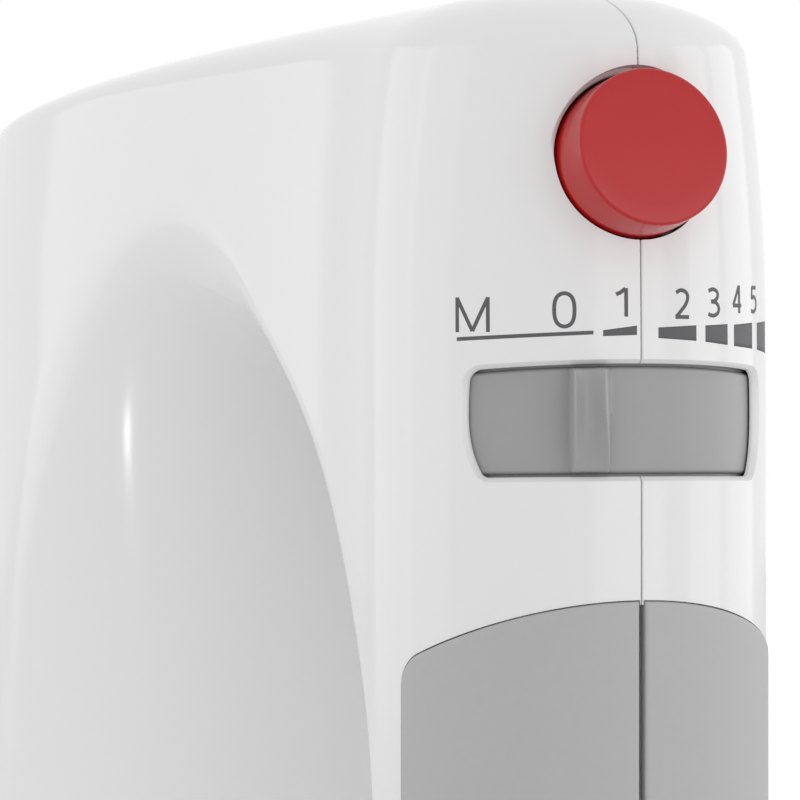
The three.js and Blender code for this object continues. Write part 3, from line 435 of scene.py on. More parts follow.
def softened(profile, size, steps=5):
    """A profile whose inner corners are replaced by quadratic curves with legs of that size, or
    of less than half of the shorter side."""
    profile = np.array(profile, dtype=float)
    t = np.linspace(0, 1, steps)[:, None]
    before, here, after = profile[:-2], profile[1:-1], profile[2:]
    back, on = before - here, after - here
    back_size = np.linalg.norm(back, axis=1, keepdims=True)
    on_size = np.linalg.norm(on, axis=1, keepdims=True)
    leg = np.minimum(size, 0.45 * np.minimum(back_size, on_size))
    a = (here + back / back_size * leg)[:, None]
    b = (here + on / on_size * leg)[:, None]
    curves = (1 - t) ** 2 * a + 2 * t * (1 - t) * here[:, None] + t**2 * b
    return np.concatenate([profile[:1], curves.reshape(-1, profile.shape[1]), profile[-1:]])


# ---- Places on the handle ------------------------------------------------------------------
def on_handle(arc, z, height=0.0):
    """A point over the round top of the handle: arc is the length from the seam round it."""
    angle = arc / GRIP_RADIUS
    across = (full_width(0.0, z) + height) * np.sin(angle)
    across = across * (1 - SEAM_HALF / BODY_HALF_WIDTH) + SEAM_HALF * np.sign(arc)
    depth = top_line(z) + GRIP_RADIUS - (GRIP_RADIUS + height) * np.cos(angle)
    return np.stack([across + 0 * z, depth, z + 0 * angle], axis=-1)


SWITCH_TILT = math.atan((SWITCH_Z - TOP_BEND_START) / TOP_BEND_RADIUS)
SWITCH_TOP = float(top_line(SWITCH_Z))


def at_switch(angle, height_z, radius):
    """A point about the slider's axis: its angle from the seam, its height along the axis from
    the switch's middle and its radius. The axis leans with the handle's top line."""
    lean_cos, lean_sin = math.cos(SWITCH_TILT), math.sin(SWITCH_TILT)
    across = radius * np.sin(angle)
    deep = GRIP_RADIUS - radius * np.cos(angle)
    up = height_z + 0 * deep
    return np.stack(
        [
            across,
            SWITCH_TOP + deep * lean_cos + up * lean_sin,
            SWITCH_Z - deep * lean_sin + up * lean_cos,
        ],
        axis=-1,
    )


BUTTON_TILT = math.radians(11.0)
BUTTON_PLACE = np.array([0.0, float(top_line(BUTTON_Z)), BUTTON_Z])


def at_button(points):
    """Local (x, y, z) about the button's axis: z goes out of the housing, y towards the nose."""
    lean_cos, lean_sin = math.cos(BUTTON_TILT), math.sin(BUTTON_TILT)
    x, y, z = points[..., 0], points[..., 1], points[..., 2]
    moved = np.stack([x, y * lean_sin - z * lean_cos, y * lean_cos + z * lean_sin], -1)
    return moved + BUTTON_PLACE


# ---- Tools that cut the housing halves -----------------------------------------------------
def bowed(arc, up):
    """Height of a switch line: raised a quarter millimetre, less a parabola of the arc that is
    stronger for the upper lines."""
    return up + 0.25 - 0.75 * np.clip(arc / 20.5, -1, 1) ** 2 * (0.6 + 0.8 * up / SLOT_HEIGHT)


def slot_grid(grow, height):
    """The switch opening as rows of its height: each row is as wide as the opening there, which
    draws in towards the bottom and round the corners, and the long sides bow upwards."""
    half_up = SLOT_HEIGHT / 2 + grow
    turn = np.linspace(-math.pi / 2, math.pi / 2, 61)
    up = half_up * np.sin(turn)
    low = np.clip((1.4 - up) / 7.5, 0, 1.2)
    draw_in = 1.75 * low**2.4 + 0.3 * np.clip((up - 1.4) / 5, 0, 1.2) ** 2
    corner = np.where(up > 0, 1.5, 0.6) + grow
    into = np.clip(corner - (half_up - np.abs(up)), 0, corner)
    draw_in = draw_in + corner - np.sqrt(corner**2 - into**2)
    half_arc = math.radians(SLOT_HALF_ANGLE) * GRIP_RADIUS + grow - draw_in
    arc = half_arc[:, None] * np.linspace(-1, 1, 121)[None, :]
    rise = bowed(arc, up[:, None])
    return at_switch(arc / GRIP_RADIUS, rise, GRIP_RADIUS + height)


def slot_tool():
    """The switch opening's walls: its outline carried out along the radius, widening over the
    last half millimetre into a chamfer."""
    levels = [(0.0, -7.0), (0.0, -0.75), (0.08, -0.55), (0.55, 0.0), (0.75, 0.2), (0.75, 3.0)]
    return block_part([slot_grid(*level) for level in levels])


def button_tool(around=144):
    """The button's hole: a circle carried along its axis, with a round that follows the height
    of the handle's surface, h = root(R^2 - x^2) - R."""
    angle = np.linspace(0, 2 * math.pi, around, endpoint=False)
    hole = BUTTON_RADIUS + 0.62
    levels = [(0, -9.0), (0, -0.5), (0.05, -0.28), (0.16, -0.12), (0.34, 0.0), (0.6, 0.1), (0.6, 2.6)]
    rings = []
    for grow, height in levels:
        radius = hole + grow
        x, y = radius * np.cos(angle), radius * np.sin(angle)
        drop = np.sqrt(GRIP_RADIUS**2 - x**2) - GRIP_RADIUS - y**2 / (2 * TOP_BEND_RADIUS)
        rings.append(at_button(np.stack([x, y, np.where(height < -1, height, height + drop)], -1)))
    return tube_part(np.stack(rings))


def stadium_prism(x0, x1, depth_from, depth_to, z_middle, height):
    """A slot with round ends, carried across the wall."""
    t = np.linspace(-math.pi / 2, math.pi / 2, 9)
    r = height / 2
    depth = np.concatenate([depth_to - r + r * np.cos(t), depth_from + r - r * np.cos(t)])
    z = np.concatenate([z_middle + r * np.sin(t), z_middle - r * np.sin(t)])
    rings = [np.stack([np.full_like(depth, x), depth, z], -1) for x in (x0, x1)]
    return tube_part(np.stack(rings))


def bore_tool(axis, radius, start, end, a, b, around=48):
    """A plain round bore along x or depth."""
    rings = lathe([(radius, start), (radius, end)], around)
    if axis == "x":
        rings = np.stack([rings[..., 2], rings[..., 0] + a, rings[..., 1] + b], -1)
    else:
        rings = np.stack([rings[..., 0] + a, rings[..., 2], rings[..., 1] + b], -1)
    return tube_part(rings)


# ---- Grip inlays ---------------------------------------------------------------------------
def inlay_grid(side, grow, columns, rows, edge_rows):
    """A patch over the handle's top from the seam to its side line. Its ends fall back with
    depth, and its two outer corners are rounded by arcs. edge_rows gives how far in from the
    border each of the outermost lines runs, and its height."""
    corner = 2.6
    reach = math.acos(1 - (INLAY_SIDE + grow) / GRIP_RADIUS) * GRIP_RADIUS
    seam = SEAM_HALF + 0.22 - grow
    lead = np.array([e[0] for e in edge_rows])
    lift = np.array([e[1] for e in edge_rows])
    inner_arc = seam + lead[-1] + (reach - seam - 2 * lead[-1]) * np.sin(
        np.linspace(0, 1, columns)[1:-1] * math.pi / 2
    ) ** 0.9
    arc = np.concatenate([seam + lead, inner_arc, reach - lead[::-1]])
    arc_lift = np.concatenate([lift, np.full(columns - 2, lift[-1]), lift[::-1]])
    short = np.clip(corner - (reach - arc), 0, corner)
    draw_in = corner - np.sqrt(np.maximum(corner**2 - short**2, 0))
    depth = GRIP_RADIUS * (1 - np.cos(arc / GRIP_RADIUS))
    front = INLAY_FRONT + grow * 1.1 - INLAY_SLOPE * depth
    front = front - INLAY_SLOPE * top_line(front) - draw_in
    rear = INLAY_REAR - grow * 1.1 + INLAY_SLOPE * depth
    rear = rear + INLAY_SLOPE * top_line(rear) + draw_in
    share = np.linspace(0, 1, rows)[1:-1]
    length = (front - rear)[:, None]
    z = np.concatenate(
        [
            rear[:, None] + lead[None, :],
            rear[:, None] + lead[-1] + (length - 2 * lead[-1]) * share[None, :],
            front[:, None] - lead[None, ::-1],
        ],
        axis=1,
    )
    z_lift = np.concatenate([lift, np.full(rows - 2, lift[-1]), lift[::-1]])
    height = np.minimum(arc_lift[:, None], z_lift[None, :])
    return on_handle(side * arc[:, None] + 0 * z, z, height)


def inlay_part(side):
    """The inlay: a soft rounded border up to three tenths proud, closed below."""
    border = [(0.0, -0.9), (0.0, -0.1), (0.05, 0.1), (0.16, 0.22), (0.34, 0.29), (0.6, 0.3)]
    flat = [(e[0], -1.0) for e in border]
    return slab_part(inlay_grid(side, 0, 70, 150, border), inlay_grid(side, 0, 70, 150, flat))


def inlay_tool(side):
    """The pocket that the inlay sits in, a little larger all round."""
    border = [(0.0, 2.5), (0.2, 2.5)]
    flat = [(0.0, -1.1), (0.2, -1.1)]
    return slab_part(
        inlay_grid(side, 0.14, 50, 110, border), inlay_grid(side, 0.14, 50, 110, flat)
    )


# ---- Housing halves ------------------------------------------------------------------------
# Bores of the screws in the right half, as (depth, z).
SCREW_PLACES = {
    "screw_nose": (62.0, 179.0),
    "screw_underside": (130.0, 165.0),
    "screw_heel": (127.0, 14.0),
}
VENT_ROWS = 12.0 + 5.5 * np.arange(5) + 1.2


def cut_with(piece, tools):
    """The piece less the tools, as a plain mesh with creases where faces turn by 32 degrees."""
    cutter = new_mesh(piece.name + "_tool", tools)
    change = piece.modifiers.new("cut", "BOOLEAN")
    change.operation = "DIFFERENCE"
    change.solver = "EXACT"
    change.object = cutter
    made = bpy.data.meshes.new_from_object(
        piece.evaluated_get(bpy.context.evaluated_depsgraph_get())
    )
    piece.modifiers.clear()
    piece.data = made
    bpy.data.objects.remove(cutter)
    made.polygons.foreach_set("use_smooth", np.ones(len(made.polygons), dtype=bool))
    made.set_sharp_from_angle(angle=math.radians(32))


def band_tool():
    """The channel that the slider's band runs in: a sector of a ring under the housing's lip,
    as long as the band and its travel."""
    turn = np.radians(np.linspace(-CHANNEL_HALF_ANGLE, CHANNEL_HALF_ANGLE, 121))[:, None]
    up = np.array([CHANNEL_LOW, CHANNEL_HIGH])[None, :]
    return slab_part(
        at_switch(turn + 0 * up, up + 0 * turn, CHANNEL_OUTER_RADIUS + 0 * turn * up),
        at_switch(turn + 0 * up, up + 0 * turn, CHANNEL_INNER_RADIUS + 0 * turn * up),
    )


def groove_tool(side):
    """Opens the seam under the grip pads: a thin slab through the handle's top wall."""
    z_range = np.linspace(INLAY_REAR + 1, INLAY_FRONT - 0.4, 40)
    x, z = np.meshgrid([0.0, side * SEAM_GROOVE], z_range)
    over = np.stack([x, top_line(z) - 2, z], axis=2)
    under = np.stack([x, top_line(z) + WALL + 0.6, z], axis=2)
    return slab_part(over, under)


def housing_half(name, side):
    """A half shell with its slot, button hole, inlay pocket, vents, bores and cord inlet cut out,
    then the seam groove and the channel of the slider's band. A cutter's own tools never cross
    each other, so these two come second."""
    half = new_mesh(name, [ring_part(half_shell(side))])
    tools = [slot_tool(), button_tool(), inlay_tool(side)]
    for z in VENT_ROWS:
        tools.append(stadium_prism(side * 30, side * 48, 91, 123, z, VENT_WIDTH))
    socket_place = (side * SPINDLE_X, SPINDLE_Z)
    tools.append(bore_tool("y", SOCKET_BORE_RADIUS, DEPTH - 10, DEPTH + 5, *socket_place))
    tools.append(bore_tool("y", GLAND_BORE_RADIUS, -10, 13, 0, GLAND_Z))
    if side > 0:
        for place in SCREW_PLACES.values():
            tools.append(bore_tool("x", SCREW_BORE_RADIUS, 9, 48, *place))
    cut_with(half, tools)
    cut_with(half, [groove_tool(side), band_tool()])
    return half


# ---- Materials -----------------------------------------------------------------------------
def colour(code):
    """sRGB hex to linear: c / 12.92 below 0.04045, else ((c + 0.055) / 1.055)^2.4."""
    c = np.array([int(code[i : i + 2], 16) for i in (1, 3, 5)]) / 255
    lin = np.where(c <= 0.04045, c / 12.92, ((c + 0.055) / 1.055) ** 2.4)
    return (*lin.tolist(), 1.0)


def add_node(tree, kind, inputs=None, **settings):
    """A node with its settings; inputs are values, or sockets to link from."""
    node = tree.nodes.new(kind)
    for key, value in settings.items():
        setattr(node, key, value)
    for key, value in (inputs or {}).items():
        if isinstance(value, bpy.types.NodeSocket):
            tree.links.new(value, node.inputs[key])
        else:
            node.inputs[key].default_value = value
    return node


def finish_named(name, base, roughness, speck_mm, speck, bump_mm, bump, **sockets):
    """A finish whose colour and roughness wander over specks of one real size, and whose
    surface rises and falls over bumps of another, both in millimetres."""
    made = bpy.data.materials.new(name)
    made.use_nodes = True
    tree = made.node_tree
    tree.nodes.clear()
    place = add_node(tree, "ShaderNodeTexCoord").outputs["Object"]
    specks = add_node(
        tree, "ShaderNodeTexNoise", {"Vector": place, "Scale": 1000 / speck_mm, "Detail": 3.0}
    )
    tones = add_node(tree, "ShaderNodeValToRGB", {"Fac": specks.outputs["Fac"]})
    tones.color_ramp.elements[0].position = 0.3
    tones.color_ramp.elements[1].position = 0.7
    here = np.array(colour(base))
    tones.color_ramp.elements[0].color = (*(here[:3] * (1 - speck)), 1.0)
    tones.color_ramp.elements[1].color = (*np.minimum(here[:3] * (1 + speck), 1), 1.0)
    rough = add_node(
        tree,
        "ShaderNodeMapRange",
        {
            "Value": specks.outputs["Fac"],
            "From Min": 0.3,
            "From Max": 0.7,
            "To Min": roughness * 0.9,
            "To Max": roughness * 1.1,
        },
    )
    bumps = add_node(
        tree, "ShaderNodeTexNoise", {"Vector": place, "Scale": 1000 / bump_mm, "Detail": 2.0}
    )
    relief = add_node(
        tree,
        "ShaderNodeBump",
        {"Height": bumps.outputs["Fac"], "Distance": bump * 0.001, "Strength": 1.0},
    )
    shader = add_node(
        tree,
        "ShaderNodeBsdfPrincipled",
        {
            "Base Color": tones.outputs["Color"],
            "Roughness": rough.outputs["Result"],
            "Normal": relief.outputs["Normal"],
        },
    )
    for key, value in sockets.items():
        shader.inputs[key.replace("_", " ")].default_value = value
    add_node(tree, "ShaderNodeOutputMaterial", {"Surface": shader.outputs["BSDF"]})
    return made


# Glossy injection-moulded ABS: a tight sheen with a faint sink-mark ripple.
white_abs = finish_named("glossy_white_abs", "#e6e6e6", 0.12, 40, 0.004, 9, 0.004, IOR=1.5)
# Soft thermoplastic rubber moulded against a fine-blasted tool: even, satin.
grey_rubber = finish_named("satin_grey_rubber", "#b0b0b0", 0.5, 1.2, 0.012, 0.6, 0.006, IOR=1.5)
# Satin ABS of the switch: spark-eroded tool.
grey_abs = finish_named("satin_grey_abs", "#9c9c9d", 0.36, 1.5, 0.008, 0.8, 0.003, IOR=1.5)
# Polished red ABS: deep gloss.
red_abs = finish_named("glossy_red_abs", "#b31113", 0.2, 12, 0.01, 8, 0.002, IOR=1.5)
# Tampo print: a thin matt ink film.
print_ink = finish_named("dark_grey_print_ink", "#58585b", 0.5, 0.5, 0.03, 0.3, 0.001, IOR=1.45)
# Black glass-filled nylon of inner parts.
black_nylon = finish_named("black_glass_filled_nylon", "#26272a", 0.5, 1, 0.08, 0.7, 0.01, IOR=1.5)
# Natural acetal of gears and bushes: waxy off-white.
natural_acetal = finish_named("natural_acetal", "#e4dcc6", 0.4, 3, 0.02, 2, 0.003, IOR=1.48)
# Ground steel of shafts and screws.
ground_steel = finish_named("ground_steel", "#9a9da1", 0.32, 0.8, 0.04, 0.4, 0.002, Metallic=1.0)
# Nickel-chrome plated wire of the beaters.
chrome_plate = finish_named("chrome_plated_wire", "#d5d7da", 0.1, 6, 0.01, 3, 0.002, Metallic=1.0)
# Varnished electrical sheet.
lamination = finish_named("varnished_lamination", "#6f7377", 0.5, 0.6, 0.08, 0.5, 0.01, Metallic=1.0)
# Enamelled copper wire, warm and a little uneven.
enamelled_copper = finish_named("enamelled_copper", "#b5652f", 0.35, 0.7, 0.1, 0.5, 0.02, Metallic=1.0)
# Sintered brass of bearings and brush holders.
brass = finish_named("sintered_brass", "#c3a04d", 0.38, 0.6, 0.05, 0.4, 0.004, Metallic=1.0)
# Pressed carbon of the brushes.
carbon = finish_named("pressed_carbon", "#1c1c1e", 0.7, 0.5, 0.15, 0.4, 0.01, IOR=1.5)
# Epoxy board with green solder mask.
board_green = finish_named("green_solder_mask", "#2e6b3c", 0.4, 2, 0.05, 1, 0.004, IOR=1.5)
# Dipped resin of the capacitor.
dipped_resin = finish_named("yellow_dipped_resin", "#c3a04d", 0.35, 3, 0.04, 2, 0.02, IOR=1.5)
# Moulded rubber of the cord inlet.
inlet_rubber = finish_named("black_moulded_rubber", "#2b2c2e", 0.55, 1, 0.05, 0.6, 0.006, IOR=1.5)


def wear(piece, finish, body):
    """Gives a piece its finish and the body that it rides on."""
    piece.data.materials.clear()
    piece.data.materials.append(finish)
    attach(piece, body)
    return piece


# ---- Housing and inlays --------------------------------------------------------------------
for side, name in ((-1, "left"), (1, "right")):
    shell = housing_half(f"housing_half_{name}", side)
    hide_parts(f"shell_{name}")
    wear(shell, white_abs, "housing")
    inlay = new_mesh(f"grip_pad_{name}", [inlay_part(side)])
    inlay.data.set_sharp_from_angle(angle=math.radians(50))
    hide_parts(f"grip_inlay_{name}")
    wear(inlay, grey_rubber, "housing")


# ---- Speed slider --------------------------------------------------------------------------
def slider_part():
    """The curved band as an (angle, height) grid. Its middle strip stands up with rounded edges
    and follows the slot's bow. The finger ridge is a root of one less a square in its height,
    times flanks that rise from each foot to its lip, with a shallow dish between the lips."""
    angle_from = math.radians(-SLOT_HALF_ANGLE - SLIDE_ANGLE_FORWARD - BAND_COVER_ANGLE)
    angle_to = math.radians(SLOT_HALF_ANGLE + SLIDE_ANGLE_BACK + BAND_COVER_ANGLE)
    middle = math.radians(RIDGE_ANGLE)
    half = RIDGE_HALF_WIDTH / GRIP_RADIUS
    near = np.linspace(middle - half, middle + half, 61)
    angle = np.concatenate(
        [
            np.linspace(angle_from, middle - half, 60)[:-1],
            near,
            np.linspace(middle + half, angle_to, 80)[1:],
        ]
    )
    strip = SLOT_HEIGHT / 2 - 0.28
    edge_round = 0.55
    margin, margin_drop = 1.9, 0.6
    t = np.linspace(0, 1, 7)
    edge_up = edge_round * (1 - np.cos(t * math.pi / 2))
    edge_drop = -edge_round * (1 - np.sin(t * math.pi / 2))
    up = np.concatenate(
        [
            [-strip - margin, -strip - 0.01],
            -strip + edge_up,
            np.linspace(-strip + edge_round + 0.01, strip - edge_round - 0.01, 61),
            (strip - edge_up)[::-1],
            [strip + 0.01, strip + margin],
        ]
    )
    margin_rise = [-margin_drop, -margin_drop]
    rise = np.concatenate([margin_rise, edge_drop, np.zeros(61), edge_drop[::-1], margin_rise])
    across = (angle - middle)[:, None] * GRIP_RADIUS
    tall = RIDGE_HEIGHT * np.sqrt(np.clip(1 - ((up - 1.2) / 7.9) ** 2, 0, 1))[None, :]
    left_foot, right_foot = -2.4, 2.7
    left_lip = -1.75 + 0 * up[None, :]
    right_lip = 1.45 + 0.75 * np.clip((3.0 - up) / 9.0, 0, 1)[None, :] ** 1.6
    left_flank = np.clip((across - left_foot) / (left_lip - left_foot), 0, 1)
    right_flank = np.clip((right_foot - across) / (right_foot - right_lip), 0, 1)
    flank = np.minimum(left_flank, right_flank)
    flank = flank * (2 - flank)
    inside_lips = (across - (left_lip + right_lip) / 2) / ((right_lip - left_lip) / 2)
    dish = np.clip(1 - inside_lips**2, 0, 1)
    fade = np.clip((strip - 0.1 - np.abs(up)) / 0.35, 0, 1)[None, :]
    fade = fade * (2 - fade)
    height = tall * flank * (1 - 0.36 * dish) * fade
    radius = BAND_RADIUS + rise[None, :] + height
    turn = angle[:, None] + 0 * up
    line = bowed(turn * GRIP_RADIUS, up[None, :])
    top = at_switch(turn, line, radius)
    bottom = at_switch(turn, line, BAND_RADIUS - BAND_THICKNESS + 0 * radius)
    return slab_part(top, bottom)


slider = new_mesh("speed_switch_slider", [slider_part()])
slider.data.set_sharp_from_angle(angle=math.radians(60))
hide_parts("speed_slider")
wear(slider, grey_abs, "slider")

# ---- Eject button --------------------------------------------------------------------------
# The button's profile, as (radius, height over the housing): its stem, its flange and its face.
button_profile = softened(
    [
        (0.001, -22.0),
        (3.0, -22.0),
        (3.0, -6.4),
        (BUTTON_RADIUS + 0.3, -6.4),
        (BUTTON_RADIUS + 0.3, -1.0),
        (BUTTON_RADIUS + 0.18, BUTTON_PROUD),
        (6.5, BUTTON_PROUD + 0.03),
        (4.0, BUTTON_PROUD + 0.05),
        (2.0, BUTTON_PROUD + 0.06),
        (0.7, BUTTON_PROUD + 0.065),
        (0.001, BUTTON_PROUD + 0.065),
    ],
    0.48,
    8,
)
button = new_mesh("eject_push_button", [tube_part(at_button(lathe(button_profile, 120)))])
button.data.set_sharp_from_angle(angle=math.radians(50))
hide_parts("eject_button")
wear(button, red_abs, "button")

# ---- Printed scale -------------------------------------------------------------------------
INK = 0.012
INK_STEP = 0.003
INK_ROOT = -0.05
STROKE_WIDTH = 0.46


def stroke_part(points, width, lift):
    """A pen stroke: a flat section of the given width carried along (arc, z) points, square to
    their direction, lying over the handle's surface."""
    points = np.array(points, dtype=float)
    ahead_of = np.gradient(points, axis=0)
    ahead_of /= np.linalg.norm(ahead_of, axis=1, keepdims=True)
    normal = np.stack([-ahead_of[:, 1], ahead_of[:, 0]], -1)
    offsets = np.linspace(-width / 2, width / 2, 5)
    grid = points[:, None, :] + normal[:, None, :] * offsets[None, :, None]
    top = on_handle(grid[..., 0], grid[..., 1], lift)
    bottom = on_handle(grid[..., 0], grid[..., 1], INK_ROOT)
    return slab_part(top, bottom)


def line(a, b, count=24):
    """Evenly spaced points from a to b."""
    return np.array(a) + (np.array(b) - np.array(a)) * np.linspace(0, 1, count)[:, None]


def bow(points, count=60):
    """A smooth open curve through points: a uniform Catmull-Rom spline."""
    p = np.array(points, dtype=float)
    p = np.concatenate([[2 * p[0] - p[1]], p, [2 * p[-1] - p[-2]]])
    at = np.linspace(0, len(p) - 3 - 1e-9, count)
    i = at.astype(int)
    t = (at - i)[:, None]
    a, b, c, d = p[i], p[i + 1], p[i + 2], p[i + 3]
    return 0.5 * (
        2 * b + (c - a) * t + (2 * a - 5 * b + 4 * c - d) * t**2 + (3 * b - a - 3 * c + d) * t**3
    )


def closed_bow(points, count=80):
    """A smooth closed curve through points."""
    return closed_spline(np.array(points, dtype=float), np.linspace(0, 1, count) % 1.0)


# Strokes of each sign in a box one unit high: x is in units of the height.
SIGNS = {
    "M": [
        line((0.0, 0.0), (0.0, 1.0)),
        line((0.0, 0.985), (0.5, 0.03)),
        line((0.5, 0.03), (1.0, 0.985)),
        line((1.0, 1.0), (1.0, 0.0)),
    ],
    "0": [
        closed_bow(
            [
                *[(0.0, 0.5), (0.07, 0.84), (0.31, 0.97), (0.55, 0.84)],
                *[(0.62, 0.5), (0.55, 0.16), (0.31, 0.03), (0.07, 0.16)],
            ]
        )
    ],
    "1": [bow([(0.0, 0.78), (0.14, 0.85), (0.30, 0.985)]), line((0.32, 1.0), (0.32, 0.0))],
    "2": [
        bow(
            [
                *[(0.0, 0.88), (0.2, 0.965), (0.42, 0.9), (0.5, 0.72)],
                *[(0.4, 0.48), (0.18, 0.24), (0.0, 0.06)],
            ]
        ),
        line((-0.03, 0.06), (0.55, 0.06)),
    ],
    "3": [
        bow([(0.02, 0.9), (0.24, 0.96), (0.44, 0.87), (0.46, 0.7), (0.32, 0.56), (0.14, 0.53)]),
        bow([(0.14, 0.53), (0.38, 0.49), (0.52, 0.3), (0.44, 0.11), (0.22, 0.035), (0.0, 0.09)]),
    ],
    "4": [
        line((0.4, 0.98), (0.0, 0.28)),
        line((-0.02, 0.27), (0.58, 0.27)),
        line((0.42, 1.0), (0.42, 0.0)),
    ],
    "5": [
        line((0.5, 0.945), (0.08, 0.945)),
        line((0.1, 0.97), (0.06, 0.5)),
        bow(
            [
                *[(0.05, 0.53), (0.26, 0.6), (0.46, 0.5), (0.5, 0.3)],
                *[(0.4, 0.11), (0.18, 0.035), (0.0, 0.08)],
            ]
        ),
    ],
}
# Sign: middle angle, bottom height, height, width.
SCALE_SIGNS = {
    "M": (-45.9, 153.1, 4.1, 3.95),
    "0": (-20.9, 153.6, 4.15, 2.4),
    "1": (-5.6, 154.9, 3.35, 1.25),
    "2": (12.4, 154.7, 3.5, 2.0),
    "3": (23.8, 155.0, 3.4, 1.9),
    "4": (34.6, 155.5, 3.3, 1.95),
    "5": (45.0, 155.6, 3.2, 1.75),
}
# Bars: two ends as (angle, low z, high z).
SCALE_BARS = [
    ((-50.5, 152.05, 152.5), (-13.2, 152.8, 153.25)),
    ((-10.6, 152.6, 153.3), (-1.2, 152.75, 153.85)),
    ((4.8, 152.4, 153.65), (17.2, 152.1, 153.95)),
    ((20.5, 152.0, 153.95), (29.7, 151.65, 154.15)),
    ((32.8, 151.55, 154.1), (43.7, 151.25, 154.4)),
    ((47.6, 151.15, 154.4), (58.5, 150.8, 154.7)),
]


def bar_part(ends):
    """A bar of the scale: a grid between two upright ends."""
    (a0, low0, high0), (a1, low1, high1) = ends
    s = np.linspace(0, 1, 60)[:, None]
    t = np.linspace(0, 1, 7)[None, :]
    arc = np.radians(a0 + (a1 - a0) * s) * GRIP_RADIUS + 0 * t
    low = low0 + (low1 - low0) * s
    high = high0 + (high1 - high0) * s
    z = low + (high - low) * t
    return slab_part(on_handle(arc, z, INK), on_handle(arc, z, INK_ROOT))


ink_parts = [bar_part(b) for b in SCALE_BARS]
for sign, (angle, base, height, width) in SCALE_SIGNS.items():
    strokes = SIGNS[sign]
    span = np.concatenate(strokes)[:, 0]
    wide = width / (span.max() - span.min())
    span_middle = (span.max() + span.min()) / 2
    for k, points in enumerate(strokes):
        arc = math.radians(angle) * GRIP_RADIUS + (points[:, 0] - span_middle) * wide
        placed = np.stack([arc, base + points[:, 1] * height], -1)
        ink_parts.append(stroke_part(placed, STROKE_WIDTH, INK + INK_STEP * (k + 1)))
scale_print = new_mesh("speed_scale_print", ink_parts)
wear(scale_print, print_ink, "housing")


# ---- Beaters, collars and bushes -----------------------------------------------------------
def swept(points, radius, around=12):
    """A round section carried along points: its two cross directions are kept square to the
    path by leaning a fixed direction out of it."""
    points = np.asarray(points, dtype=float)
    ahead_of = np.gradient(points, axis=0)
    ahead_of /= np.linalg.norm(ahead_of, axis=1, keepdims=True)
    plane = np.cross(points[len(points) // 2] - points[0], points[-1] - points[0])
    flat = plane / np.linalg.norm(plane)
    other = np.cross(ahead_of, flat)
    other /= np.linalg.norm(other, axis=1, keepdims=True)
    angle = np.linspace(0, 2 * math.pi, around, endpoint=False)
    ring = flat[None, None, :] * np.cos(angle)[None, :, None]
    ring = ring + other[:, None, :] * np.sin(angle)[None, :, None]
    return tube_part(points[:, None, :] + radius * ring)


def spindle_lathe(profile, x, around=48):
    """A turned shape about a beater's axis; its profile is (radius, depth)."""
    rings = lathe(profile, around)
    return tube_part(np.stack([rings[..., 0] + x, rings[..., 2], rings[..., 1] + SPINDLE_Z], -1))


def beater_parts(x, turn):
    """A grooved shaft, four bowed wires that meet at the tip, and the tip's button."""
    collar, tip = 184.0, BEATER_TIP
    wire_radius = 1.25
    wire = bow(
        [
            *[(2.2, collar - 1), (17.2, collar + 12), (22.0, collar + 34)],
            *[(21.4, tip - 22), (13.5, tip - 6), (0.6, tip - 2.2)],
        ],
        64,
    )
    out, deep = wire[:, 0], wire[:, 1]
    parts = []
    for i in range(4):
        angle = turn + i * math.pi / 2
        path = np.stack([x + out * math.cos(angle), deep, SPINDLE_Z + out * math.sin(angle)], -1)
        parts.append(swept(path, wire_radius))
    shaft = softened(
        [
            (0.001, 104.3),
            (2.2, 104.3),
            (2.95, 105.2),
            (2.95, 109.0),
            (2.35, 109.6),
            (2.35, 111.2),
            (2.95, 111.8),
            (2.95, collar - 3),
            (3.9, collar - 2),
            (3.9, collar + 3),
            (0.001, collar + 4),
        ],
        0.35,
        4,
    )
    knob = [(0.001, tip - 4.6), (3.1, tip - 4.2), (3.3, tip - 1.2), (0.001, tip - 0.02)]
    knob = softened(knob, 1.0, 6)
    return parts + [spindle_lathe(shaft, x), spindle_lathe(knob, x)]


def collar_part(x, teeth, around=192):
    """A drive collar whose rim rises and falls in fine teeth, bored for the shaft."""
    angle = np.linspace(0, 2 * math.pi, around, endpoint=False)
    wave = 0.5 + 0.5 * np.tanh(3 * np.cos(teeth * angle))
    profile = [(3.35, 145.2), (5.4, 145.2), (6.4, 145.9), (6.4, 148.2), (5.7, 148.9), (3.35, 148.9)]
    rings = []
    for radius, depth in profile:
        tooth = 0.5 * wave if radius > 6 else 0 * wave
        r = radius - tooth
        across, up = r * np.cos(angle), r * np.sin(angle)
        rings.append(np.stack([x + across, depth + 0 * r, SPINDLE_Z + up], -1))
    return ring_part(np.stack(rings))


def bush_part(x):
    """The flanged bush round a beater's socket, with a rounded mouth."""
    flange = [(5.2, 129.4), (10.3, 129.4), (10.3, 131.3), (8.3, 131.4)]
    profile = flange + [(8.3, 142.4), (7.9, 142.8), (5.9, 142.8), (5.2, 142.1)]
    rings = lathe(profile, 64)
    return ring_part(np.stack([rings[..., 0] + x, rings[..., 2], rings[..., 1] + SPINDLE_Z], -1))


